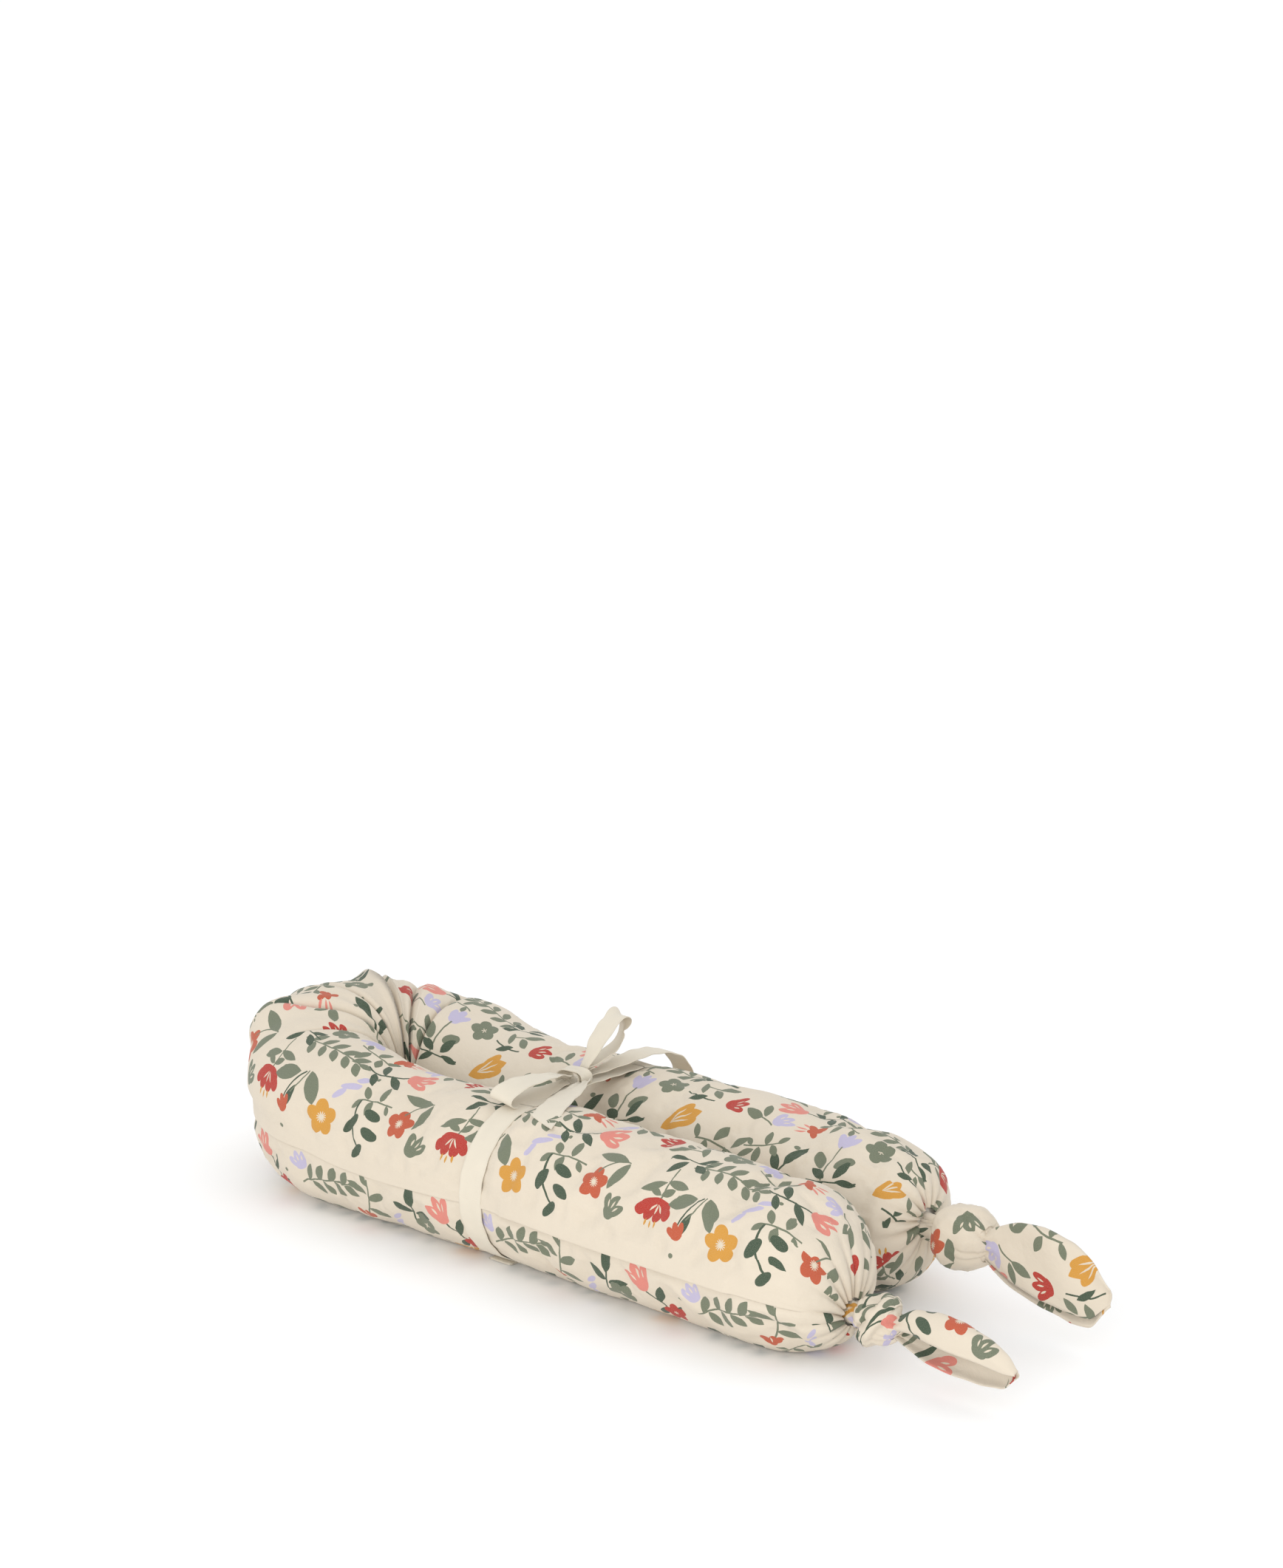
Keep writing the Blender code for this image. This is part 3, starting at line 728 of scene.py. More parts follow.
BELL = drawn("""
    sage: stem 1 8 3 44 -2 1, leaf 2 26 206 27 7.5, leaf 2 27 -4 24 7, leaf 1 13 160 15 6, leaf 1 13 34 14 6
    red: oval 0 2 0 33 17, oval -15 -3 60 14 11, oval -6 -6 78 14 11, oval 5 -6 100 14 11, oval 14 -3 118 14 11
    cream: leaf -1 5 235 10 1.6, leaf 0 5 270 10 1.6, leaf 1 5 305 10 1.6
    gold: leaf -6 -11 262 7 2.2, leaf 0 -12 270 7 2.2, leaf 6 -11 280 7 2.2
""")
BIG_LEAVES = drawn("""
    dark: stem -15 -27 3 12 4 1.1, leaf -3 -4 -108 25 7.5
    sage: stem -7 -12 6 13 -1 1, leaf -4 10 200 32 13, leaf 9 13 -62 31 14
""")
DOUBLE_LEAF = drawn("""
    sage: leaf 14 6 178 34 10.5, leaf 16 5 -102 30 9.5, stem 16 6 -8 -14 -5 1
""")
ROUND_STEM = drawn("""
    dark: stem -10 22 4 -20 -6 1.6, oval 10 11 -14 19 10, oval 15 -7 -18 21 10, oval -11 -2 62 22 11
    dark: oval 5 -25 50 18 9
""")
LILAC_BUDS = drawn("""
    lilac: oval 9 13 18 17 5.5, oval 0 3 24 22 6.5, oval -8 -8 52 16 6.5
""")
SPRIG = drawn("""
    sage: stem -21 0 21 -2 2 1.1, leaf -10 2 118 14 6.5, leaf -4 1 -98 15 7, leaf 4 2 82 17 7.5
    sage: leaf -16 1 -140 13 6, leaf 12 -1 -60 11 5
""")
DARK_FOUR = drawn("""
    dark: stem -25 4 24 -2 2.5 0.9, leaf -5 3 172 19 5.5, leaf -3 0 228 21 8, leaf 5 2 20 19 5.5
    dark: leaf 6 -1 -42 18 8
""")
DARK_THREE = drawn("""
    dark: stem -1 -24 1 2 1 1.3, leaf 0 0 86 27 10, leaf -1 -8 152 21 8.5, leaf 1 -10 8 20 8.5
""")
PINK_STEM = drawn("""
    dark: stem 0 0 -3 -46 5 1.3, leaf 2 -17 42 23 7.5, leaf 3 -24 205 20 7.5, leaf 2 -36 22 18 6.5
""")
PINK_TULIP = tulip("pink", 1.05) + PINK_STEM
RUST_BRANCH = drawn("""
    sage: stem -6 -16 8 30 -4 1.2, leaf 4 6 22 22 8, leaf 4 12 155 24 7.5, leaf 7 22 118 16 6
    sage: leaf 0 -6 -18 24 8
    rust: oval -9 -20 70 17 9, oval -15 -18 110 15 8, oval -3 -19 40 14 8
    cream: leaf -10 -14 265 9 1.5
""")
SMALL_RED = petals("red", 5, 6.5, 12, 9.5) + drawn("cream: rays 0 0 1.8 1 7")
SAGE_PETALS = petals("sage", 5, 7.8, 14.5, 12.5)
SAGE_BLOSSOM = SAGE_PETALS + drawn("cream: leaf -4 -3 40 9 1.5, leaf 4 -3 140 9 1.5")
LILAC_STEM = tulip("lilac", 0.82, None) + drawn(
    "sage: stem 0 2 -1 -38 -1.5 1.3, oval -14 -17 128 21 11, oval 14 -15 40 21 11"
)
FAN = drawn("""
    gold: leaf -13 -15 38 42 17, oval 3 3 68 33 14, oval 8 -3 20 30 14
    cream: leaf -5 -8 62 20 1.5, leaf -5 -8 42 23 1.5, leaf -5 -8 22 20 1.5
""")
RED_SIDE = drawn("""
    dark: stem -13 1 -50 6 3 1.1, leaf -24 4 -150 18 6.5
    sage: leaf -32 6 118 19 6.5
""")
BRANCH = drawn("""
    sage: stem -34 6 32 -10 6 1.3, leaf -14 8 66 19 7.5, leaf 6 6 48 21 7.5, leaf -22 7 -86 16 7
    sage: leaf -2 6 -72 17 7.5, leaf -32 6 120 14 6, leaf 18 1 32 17 6.5
    pink: oval 38 -12 0 17 9, oval 41 -8 30 15 7
""")
FLARE = drawn("""
    rust: oval 0 0 20 16 9, oval -4 4 150 15 7, oval 4 5 60 14 7, oval 2 -5 -50 14 7
    pink: leaf -8 0 190 12 2.2, leaf -8 -3 215 11 2.2, leaf -8 4 165 10 2.2
""")
LEAF_PAIR = drawn("""
    sage: leaf -2 0 168 21 8.5, leaf 0 2 110 18 7.5, stem -3 0 14 -6 1 1.1
""")


def dot(radius):
    return [("sage", "oval", 0, 0, 0, radius * 2, radius * 1.8)]


PLACED = (  # motif, place along and round the cloth in millimetres, turn in degrees
    (blossom("rust", 0.95), 110, 53, 0), (BELL, 184, 48, 0), (blossom("gold", 1.08), 17, 34, 12),
    (LILAC_BUDS, 34, 70, 0), (SPRIG, 70, 66, 8), (PINK_TULIP, 78, 106, -78), (ROUND_STEM, 64, 42, 0),
    (DOUBLE_LEAF, 118, 77, 0), (BIG_LEAVES, 231, 57, 0), (tulip("rust", 0.62, None), 222, 26, 30),
    (tulip("sage", 0.85), 135, 26, -25), (fern("sage", 5, 15.0, 17.0), 240, 98, -6),
    (DARK_FOUR, 190, 104, 10), (dot(2.6), 204, 64, 0), (dot(2.2), 54, 90, 0), (dot(2.4), 219, 12, 0),
    (LILAC_STEM, 2, 152, 180), (FAN, 188, 170, 180),
    (SAGE_PETALS + drawn("cream: rays 0 0 1.6 1.6 5"), 221, 134, 0), (tulip("red", 0.85), 150, 140, 110),
    (RED_SIDE, 150, 142, 180), (tulip("lilac", 0.78), 88, 146, 150), (LEAF_PAIR, 102, 142, 180),
    (FLARE, 48, 134, 180), (BRANCH, 122, 190, 180), (DARK_THREE, 47, 186, 160), (dot(3.0), 46, 164, 0),
    (SPRIG, 22, 120, 172), (DARK_FOUR, 246, 186, 20), (SPRIG, 82, 172, 20), (LEAF_PAIR, 176, 122, 30),
    (DARK_THREE, 164, 210, 70), (fern("sage", 4, 15.5, 18.0), 26, 442, 12), (PINK_TULIP, 184, 440, 28),
    (DARK_THREE, 137, 446, -4), (RUST_BRANCH, 74, 434, 0), (SAGE_BLOSSOM, 148, 424, 20),
    (SMALL_RED, 206, 414, 0), (tulip("lilac", 0.7), 246, 446, 30), (LILAC_BUDS, 108, 414, 20),
    (dot(2.4), 222, 440, 0),
)


class Shader:
    """Adds shader nodes to one tree, in the order they are worked out."""

    def __init__(self, tree):
        self.tree = tree

    def add(self, kind, sockets=(), **settings):
        made = self.tree.nodes.new(kind)
        for key, value in settings.items():
            setattr(made, key, value)
        for place, value in dict(sockets).items():
            if isinstance(value, bpy.types.NodeSocket):
                self.tree.links.new(value, made.inputs[place])
            else:
                made.inputs[place].default_value = value
        return made

    def link(self, output, node, socket):
        self.tree.links.new(output, node.inputs[socket])

    def math(self, operation, first, second=0.0, third=0.0):
        sockets = {0: first, 1: second, 2: third}
        return self.add("ShaderNodeMath", sockets, operation=operation).outputs[0]

    def vector(self, operation, first, second, third=None):
        sockets = {0: first, 1: second} if third is None else {0: first, 1: second, 2: third}
        return self.add("ShaderNodeVectorMath", sockets, operation=operation).outputs["Vector"]

    def scaled(self, first, amount):
        return self.add("ShaderNodeVectorMath", {0: first, "Scale": amount}, operation="SCALE").outputs["Vector"]

    def split(self, at):
        return self.add("ShaderNodeSeparateXYZ", {0: at}).outputs

    def disc(self, at, x, y, long, wide, angle=0.0, kind="SPHERICAL"):
        """1 at the middle of an oval of these half sizes, falling to 0 at its edge and outside."""
        made = self.add("ShaderNodeTexGradient", {0: at}, gradient_type=kind)
        made.texture_mapping.vector_type = "TEXTURE"
        made.texture_mapping.translation = (x, y, 0)
        made.texture_mapping.rotation = (0, 0, math.radians(angle))
        made.texture_mapping.scale = (long, wide, 1)
        return made.outputs[1]

    def mix(self, share, first, second):
        made = self.add("ShaderNodeMix", data_type="RGBA")
        for place, value in ((0, share), (6, first), (7, second)):
            if isinstance(value, bpy.types.NodeSocket):
                self.tree.links.new(value, made.inputs[place])
            else:
                made.inputs[place].default_value = value if place == 0 else (*value, 1)
        return made.outputs[2]

    def noise(self, at, scale, detail=2.0, rough=0.5):
        sockets = {"Vector": at, "Scale": scale, "Detail": detail, "Roughness": rough}
        return self.add("ShaderNodeTexNoise", sockets).outputs[0]


def leaf_mask(shader, at, x, y, angle, long, wide):
    """A pointed leaf: what lies inside two equal circles."""
    half, wide = long / 2, wide / 2
    radius = (half * half + wide * wide) / (2 * wide)
    x += half * math.cos(angle)
    y += half * math.sin(angle)
    off = radius - wide
    first = shader.disc(at, x - off * math.sin(angle), y + off * math.cos(angle), radius, radius)
    second = shader.disc(at, x + off * math.sin(angle), y - off * math.cos(angle), radius, radius)
    return shader.math("MINIMUM", first, second)


def stem_mask(shader, at, x, y, angle, long, bulge, thick):
    """A thin arc: the edge of a circle, inside a second circle about the arc's middle."""
    bulge = math.copysign(max(abs(bulge), 0.6), bulge)
    half = long / 2
    radius = (half * half + bulge * bulge) / (2 * abs(bulge))
    off = bulge - math.copysign(radius, bulge)
    ring = shader.disc(at, x - off * math.sin(angle), y + off * math.cos(angle), 2 * radius, 2 * radius)
    ring = shader.math("COMPARE", ring, 0.5, (thick + 0.35) / (4 * radius))
    return shader.math("MINIMUM", ring, shader.disc(at, x, y, half, half))


def rays_mask(shader, at, x, y, radius, ray, count):
    """A small disc with a rayed edge."""
    turn = shader.disc(at, x, y, 1, 1, kind="RADIAL")
    wave = shader.math("COSINE", shader.math("MULTIPLY", turn, 2 * math.pi * count))
    edge = shader.math("MULTIPLY_ADD", wave, ray / 20, radius / 20 - 1)
    return shader.math("ADD", edge, shader.disc(at, x, y, 20, 20))


LEAF_LONG, LEAF_WIDE = 1.07, 1.16  # every leaf of the print, against its motif's own sizes


def paint(shader, base, at, place, shapes, turn):
    """Paints one motif over a colour: leaves, ovals, stems and rays, one ink at a time."""
    cos, sin = math.cos(math.radians(turn)), math.sin(math.radians(turn))

    def put(x, y):
        return place[0] + x * cos - y * sin, place[1] + x * sin + y * cos

    for ink in dict.fromkeys(shape[0] for shape in shapes):
        mask = None
        for _, kind, *size in [s for s in shapes if s[0] == ink]:
            if kind == "stem":
                x0, y0, x1, y1, bulge, thick = size
                angle = math.atan2(y1 - y0, x1 - x0) + math.radians(turn)
                x, y = put((x0 + x1) / 2, (y0 + y1) / 2)
                found = stem_mask(shader, at, x, y, angle, math.hypot(x1 - x0, y1 - y0), bulge, thick * 1.25)
            elif kind == "leaf":
                x, y = put(size[0], size[1])
                angle = math.radians(size[2] + turn)
                found = leaf_mask(shader, at, x, y, angle, size[3] * LEAF_LONG, size[4] * LEAF_WIDE)
            elif kind == "oval":
                x, y = put(size[0], size[1])
                found = shader.disc(at, x, y, size[3] / 2, size[4] / 2, size[2] + turn)
            else:
                x, y = put(size[0], size[1])
                found = rays_mask(shader, at, x, y, *size[2:])
            mask = found if mask is None else shader.math("MAXIMUM", mask, found)
        base = shader.mix(shader.math("GREATER_THAN", mask, 0.0), base, INKS[ink])
    return base


UNSEEN = (226.0, 402.0)  # round the cloth, this stretch repeats what lies 226 mm before it


def new_material(name):
    made = bpy.data.materials.new(name)
    made.use_nodes = True
    return made, Shader(made.node_tree), made.node_tree.nodes["Principled BSDF"]


def cloth_millimetres(shader):
    return shader.scaled(shader.add("ShaderNodeUVMap", uv_map="cloth").outputs[0], 1000.0)


def set_inputs(node, **values):
    """Plain values on sockets: sheen_weight=0.1 sets Sheen Weight."""
    for key, value in values.items():
        node.inputs[key.replace("_", " ").title().replace("Ior", "IOR")].default_value = value


def printed_cotton():
    """Plain-weave cotton with small flowers and leaves printed on cream."""
    made, shader, surface = new_material("printed_cotton")
    flat = cloth_millimetres(shader)
    wobble = shader.add("ShaderNodeTexNoise", {"Vector": flat, "Scale": 0.11, "Detail": 1.0}).outputs[1]
    wobble = shader.vector("SUBTRACT", wobble, (0.5, 0.5, 0.5))
    at = shader.vector("MULTIPLY_ADD", wobble, (1.5, 1.5, 0), flat)
    along, around, _ = shader.split(at)
    hidden = shader.math(
        "MULTIPLY",
        shader.math("GREATER_THAN", around, UNSEEN[0]),
        shader.math("LESS_THAN", around, UNSEEN[1]),
    )
    v = shader.math("MULTIPLY_ADD", hidden, -UNSEEN[0], around)
    # Two copies of the repeat, cut half a repeat apart, so that no motif meets a cut.
    whole = shader.math("WRAP", along, REPEAT, 0.0)
    shifted = shader.math("WRAP", along, REPEAT / 2, -REPEAT / 2)
    whole = shader.add("ShaderNodeCombineXYZ", {0: whole, 1: v}).outputs[0]
    shifted = shader.add("ShaderNodeCombineXYZ", {0: shifted, 1: v}).outputs[0]
    colour = CREAM
    for shapes, x, y, turn in PLACED:
        if REPEAT / 4 < x < REPEAT * 3 / 4:
            colour = paint(shader, colour, whole, (x, y), shapes, turn)
        else:
            x = x - REPEAT if x > REPEAT / 2 else x
            colour = paint(shader, colour, shifted, (x, y), shapes, turn)
    speck = shader.noise(flat, 1.4, 2.0, 0.7)
    fade = shader.math("MAXIMUM", shader.math("MULTIPLY_ADD", speck, 0.60, -0.25), 0.0)
    colour = shader.mix(fade, colour, CREAM)
    cloud = shader.noise(flat, 0.02, 2.0)
    threads = weave(shader, flat)
    tone = shader.math("MULTIPLY_ADD", cloud, 0.08, 0.96)
    tone = shader.math("MULTIPLY", tone, shader.math("MULTIPLY_ADD", threads, 0.06, 0.96))
    shade = shader.add("ShaderNodeCombineColor", {0: tone, 1: tone, 2: tone}).outputs[0]
    coloured = shader.add("ShaderNodeMix", data_type="RGBA", blend_type="MULTIPLY")
    coloured.inputs[0].default_value = 1.0
    shader.link(colour, coloured, 6)
    shader.link(shade, coloured, 7)
    shader.link(coloured.outputs[2], surface, "Base Color")
    cloth_surface(shader, surface, flat, threads, 0.82)
    return made


def weave(shader, flat):
    """Crossing threads, 0.55 mm apart, in millimetre coordinates."""
    x, y, _ = shader.split(shader.scaled(flat, math.pi / 0.55))
    across = shader.math("SINE", x)
    along = shader.math("SINE", y)
    return shader.math("ABSOLUTE", shader.math("MULTIPLY", across, along))


def cloth_surface(shader, surface, flat, threads, rough):
    """Roughness, a soft sheen, and bump from threads, slubs and small creases."""
    slub = shader.noise(shader.vector("MULTIPLY", flat, (0.17, 1.4, 1.0)), 1.0, 2.0)
    slub = shader.math("MULTIPLY_ADD", slub, 0.5, shader.math("MULTIPLY", threads, 0.5))
    crease = shader.noise(flat, 0.09, 3.0, 0.55)
    fine = shader.add("ShaderNodeBump", {"Height": slub, "Strength": 0.16, "Distance": 0.0003})
    broad = shader.add(
        "ShaderNodeBump", {"Height": crease, "Strength": 0.5, "Distance": 0.0022, "Normal": fine.outputs[0]}
    )
    shader.link(broad.outputs[0], surface, "Normal")
    vary = shader.math("MULTIPLY_ADD", crease, 0.12, rough - 0.06)
    shader.link(vary, surface, "Roughness")
    set_inputs(surface, sheen_weight=0.12, sheen_roughness=0.5, specular_ior_level=0.25)


# ---------------------------------------------------------------- casing and filling


def make_inside(grid, casing, filling):
    """The casing and the filling: the cover's own form, drawn in from it."""
    sections, points, normal = grid
    for kind, inset, slot, material in (
        ("casing", 0.0050, "casing_cotton", casing),
        ("fill", 0.0078, "polyester_fibre", filling),
    ):
        inner = (points - normal * inset)[:, ::3]
        for name, first, last, side in leg_parts(sections):
            part = inner[sorted(set(range(first, last + 1, 2)) | {last})]
            wide = part.shape[1]
            faces = grid_faces(len(part), wide, True)
            tip = tuple(range(wide))
            faces.append(tip[::-1] if side < 0 else tuple((len(part) - 1) * wide + i for i in tip))
            made = add_mesh(f"{name}_{kind}_form", part.reshape(-1, 3), faces, material)
            finish_padding(made, name, kind, side)
# ---------------------------------------------------------------- tape and bow

TAPE_THICK = 0.0009
TAPE_RIB = (-1.0, -0.97, -0.9, -0.5, 0.0, 0.5, 0.9, 0.97, 1.0)  # places across the tape


def distances(points):
    """The distance along a line of points up to each of them."""
    return np.concatenate([[0], np.cumsum(np.linalg.norm(np.diff(points, axis=0), axis=1))])


def curve_points(knots, count):
    """An even run of points on a smooth curve through the given ones."""
    knots = np.array(knots, dtype=float)
    padded = np.vstack([2 * knots[0] - knots[1], knots, 2 * knots[-1] - knots[-2]])
    found = []
    for i in range(1, len(padded) - 2):
        a, b, c, d = padded[i - 1 : i + 3]
        for t in np.linspace(0, 1, 24, endpoint=False):
            found.append(
                0.5 * (2 * b + (c - a) * t + (2 * a - 5 * b + 4 * c - d) * t**2 + (3 * b - a - 3 * c + d) * t**3)
            )
    found.append(knots[-1])
    found = np.array(found)
    run = distances(found)
    even = np.linspace(0, run[-1], count)
    return np.stack([np.interp(even, run, found[:, k]) for k in range(found.shape[1])], 1), run[-1]


def unit(vectors):
    return vectors / np.maximum(np.linalg.norm(vectors, axis=-1, keepdims=True), 1e-9)


def ribbon(name, path, across, widths, material, closed=False, slant=0.0, cup=0.0, thick=TAPE_THICK):
    """A tape along a path: across is the direction of its width at each point."""
    path, across = np.asarray(path), unit(np.asarray(across, dtype=float))
    count = len(path)
    if closed:
        tangent = unit(np.roll(path, -1, 0) - np.roll(path, 1, 0))
    else:
        tangent = unit(np.gradient(path, axis=0))
    up = unit(np.cross(tangent, across))
    across = unit(np.cross(up, tangent))
    widths = np.broadcast_to(widths, (count,))
    ring = []
    run = distances(path)
    end = np.clip((run - (run[-1] - 0.02)) / 0.02, 0, 1)
    for face in (1, -1):
        for place in TAPE_RIB[::face]:
            edge = thick / 2 * (0.55 if abs(place) > 0.99 else 1.25 if 0.85 < abs(place) < 0.98 else 1.0)
            gathered = np.clip(1 - widths / widths.max(), 0, 1)
            fold = gathered * 0.0022 * np.cos(place * 7.0)
            lift = face * edge + cup * place * place * widths + fold
            ripple = 0.00045 * np.sin(run * 260 + place * 3.0) * abs(place) ** 3
            point = path + across * (widths / 2 * place)[:, None] + up * (lift + ripple)[:, None]
            point = point + tangent * (slant * place * end)[:, None]
            ring.append(point)
    ring = np.stack(ring, 1)
    wide = ring.shape[1]
    faces = grid_faces(count, wide, True)
    if closed:
        last = (count - 1) * wide
        for j in range(wide):
            k = (j + 1) % wide
            faces.append((last + j, last + k, k, j))
    else:
        half = wide // 2
        for start in (0, (count - 1) * wide):
            for j in range(half - 1):
                quad = (start + j, start + j + 1, start + wide - 2 - j, start + wide - 1 - j)
                faces.append(quad if start else quad[::-1])
    made = add_mesh(name, ring.reshape(-1, 3), faces, material)
    places = []
    across_places = list(TAPE_RIB) + list(TAPE_RIB[::-1])
    for face in faces:
        for vertex in face:
            i, j = divmod(vertex, wide)
            along = run[i]
            if closed and i == 0 and (count - 1) * wide + j in face:
                along = run[-1] + 0.002
            places.append((along, across_places[j] * TAPE_WIDTH / 2))
    lay_cloth(made, places)
    return made, run[-1]


def finish_tape(made, body, node):
    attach(made, body)
    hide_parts(node)


def band_path():
    """The tape's way round both legs and straight across between them."""
    angles = np.linspace(0, 2 * math.pi, 240, endpoint=False)
    points = []
    for side in (-1, 1):
        found = outline(leg_section(side, tie_place(side) - BEND_X), angles)
        middle_y, middle_z = found[:, 1].mean(), found[:, 2].mean()
        for y, z in found[:, 1:]:
            out = unit(np.array([y - middle_y, z - middle_z])) * 0.0019
            points.append((y + out[0], max(z + out[1], 0.0009)))
    points.append((MID_Y, KNOT.z - 0.0075))
    points = sorted(points)
    hull = []
    for ordered in (points, points[::-1]):
        part = []
        for p in ordered:
            while len(part) > 1:
                (ax, ay), (bx, by) = part[-2], part[-1]
                if (bx - ax) * (p[1] - ay) - (by - ay) * (p[0] - ax) > 0:
                    break
                part.pop()
            part.append(p)
        hull += part[:-1]
    path, _ = curve_points([(TIE_X, y, z) for y, z in hull] + [(TIE_X, *hull[0])], 220)
    path[:, 0] += BOW_SHIFT + TIE_PULL * smooth((KNOT.y - path[:, 1]) / 0.09)
    return path[:-1]


def make_band(tape):
    path = band_path()
    band, length = ribbon("tie_tape", path, np.tile((1.0, 0, 0), (len(path), 1)), TAPE_WIDTH, tape, closed=True)
    finish_tape(band, "rear", "tie_band")


def make_bow_knot(tape):
    """Two turns of gathered tape round the bow's middle."""
    turns = np.linspace(0, 2 * math.pi, 40, endpoint=False)
    wave = np.sign(np.cos(turns)) * np.abs(np.cos(turns)) ** 0.8
    over = np.sign(np.sin(turns)) * np.abs(np.sin(turns)) ** 0.8
    x = KNOT.x + BOW_SHIFT
    wraps = []
    for k, (long, tall, lean, shift) in enumerate(((0.0132, 0.0078, 0.16, 0.0), (0.0112, 0.0064, -0.12, 0.002))):
        y = KNOT.y + shift + lean * long * wave
        path = np.stack([x + long * wave, y, KNOT.z - 0.0014 + tall * over], axis=1)
        widths = 0.0185 - 0.0035 * np.sin(turns) - 0.0035 * k
        across = np.tile((-lean, 1.0, 0), (len(path), 1))
        wraps.append(ribbon(f"knot_wrap_{k}", path, across, widths, tape, closed=True, cup=-0.10)[0])
    knot = join_pieces(wraps, "bow_knot_wrap")
    finish_tape(knot, "rear", "bow_knot")


def make_bow_part(node, places, run, gather, narrow, lean, tape, held, rests_on, **shape):
    """A loop or a tail: tape through places whose x is measured from the bow's middle."""
    path, _ = curve_points([(KNOT.x + BOW_SHIFT + x, y, z) for x, y, z in places], len(run))
    widths = narrow + (TAPE_WIDTH - narrow) * gather
    lean = np.stack([np.broadcast_to(v, run.shape) for v in lean], 1)
    made, length = ribbon(f"{node}_tape", path, lean, widths, tape, **shape)
    finish_tape(made, node, node)


def make_bow(tape):
    make_band(tape)
    make_bow_knot(tape)
    run = np.linspace(0, 1, 90)
    gather = smooth(run / 0.24) * smooth((1 - run) / 0.24)
    make_bow_part(
        "bow_loop_left",
        [
            (0.001, -0.0180, 0.1560), (0.003, -0.040, 0.1632), (0.004, -0.070, 0.1668), (0.002, -0.092, 0.1655),
            (0, -0.1045, 0.1600), (-0.001, -0.1060, 0.1540), (-0.001, -0.0980, 0.1498), (0, -0.078, 0.1492),
            (-0.001, -0.050, 0.1503), (-0.001, -0.0180, 0.1520),
        ],
        run, gather, 0.012, (1.0, 0.16 * np.sin(run * math.pi * 2), 0.10 * np.cos(run * 5)),
        tape, "folded", "tie_tape", cup=0.03,
    )
    turned = smooth((run - 0.30) / 0.25)
    make_bow_part(
        "bow_loop_right",
        [
            (0, 0.0030, 0.1580), (0.002, 0.0090, 0.1675), (0.003, 0.0200, 0.1820), (0.003, 0.0340, 0.1945),
            (0.002, 0.0480, 0.2010), (0, 0.0590, 0.1990), (-0.003, 0.0650, 0.1900), (-0.004, 0.0635, 0.1780),
            (-0.003, 0.0510, 0.1685), (0, 0.0240, 0.1610), (0, 0.0030, 0.1565),
        ],
        run, gather, 0.012, (0.97 - 0.20 * turned, -0.22 - 0.42 * turned, 0.10 * np.sin(run * math.pi)),
        tape, "folded", "bow_knot_wrap", cup=0.03,
    )
    short = np.linspace(0, 1, 60)
    make_bow_part(
        "bow_tail_front",
        [
            (0.0160, -0.0100, 0.1530), (0.024, -0.0260, 0.1546), (0.033, -0.0470, 0.1558),
            (0.043, -0.0720, 0.1562), (0.052, -0.0950, 0.1548), (0.060, -0.1170, 0.1495),
        ],
        short, smooth(short / 0.45), 0.013, (0.9, 0.40, 0.30 * (1 - short)),
        tape, "laid", "near_cover_cloth", slant=0.009, cup=0.02,
    )
    make_bow_part(
        "bow_tail_back",
        [
            (0, 0.0090, 0.1520), (0.001, 0.0300, 0.1525), (0.002, 0.0550, 0.1545), (0.001, 0.0850, 0.1550),
            (0, 0.1120, 0.1510), (-0.001, 0.1340, 0.1420), (-0.001, 0.1480, 0.1260), (0, 0.1535, 0.1050),
            (0, 0.1545, 0.0770),
        ],
        run, smooth(run / 0.3), 0.013, (1.0, 0.10 * np.sin(run * 4), 0.12 * np.cos(run * 3)),
        tape, "draped", "far_cover_cloth", slant=0.009, cup=0.02,
    )


def join_pieces(pieces, name):
    """One mesh from several, keeping their cloth places."""
    bpy.ops.object.select_all(action="DESELECT")
    for piece in pieces:
        piece.select_set(True)
    bpy.context.view_layer.objects.active = pieces[0]
    bpy.ops.object.join()
    pieces[0].name = name
    return pieces[0]


# ---------------------------------------------------------------- knots and their tails


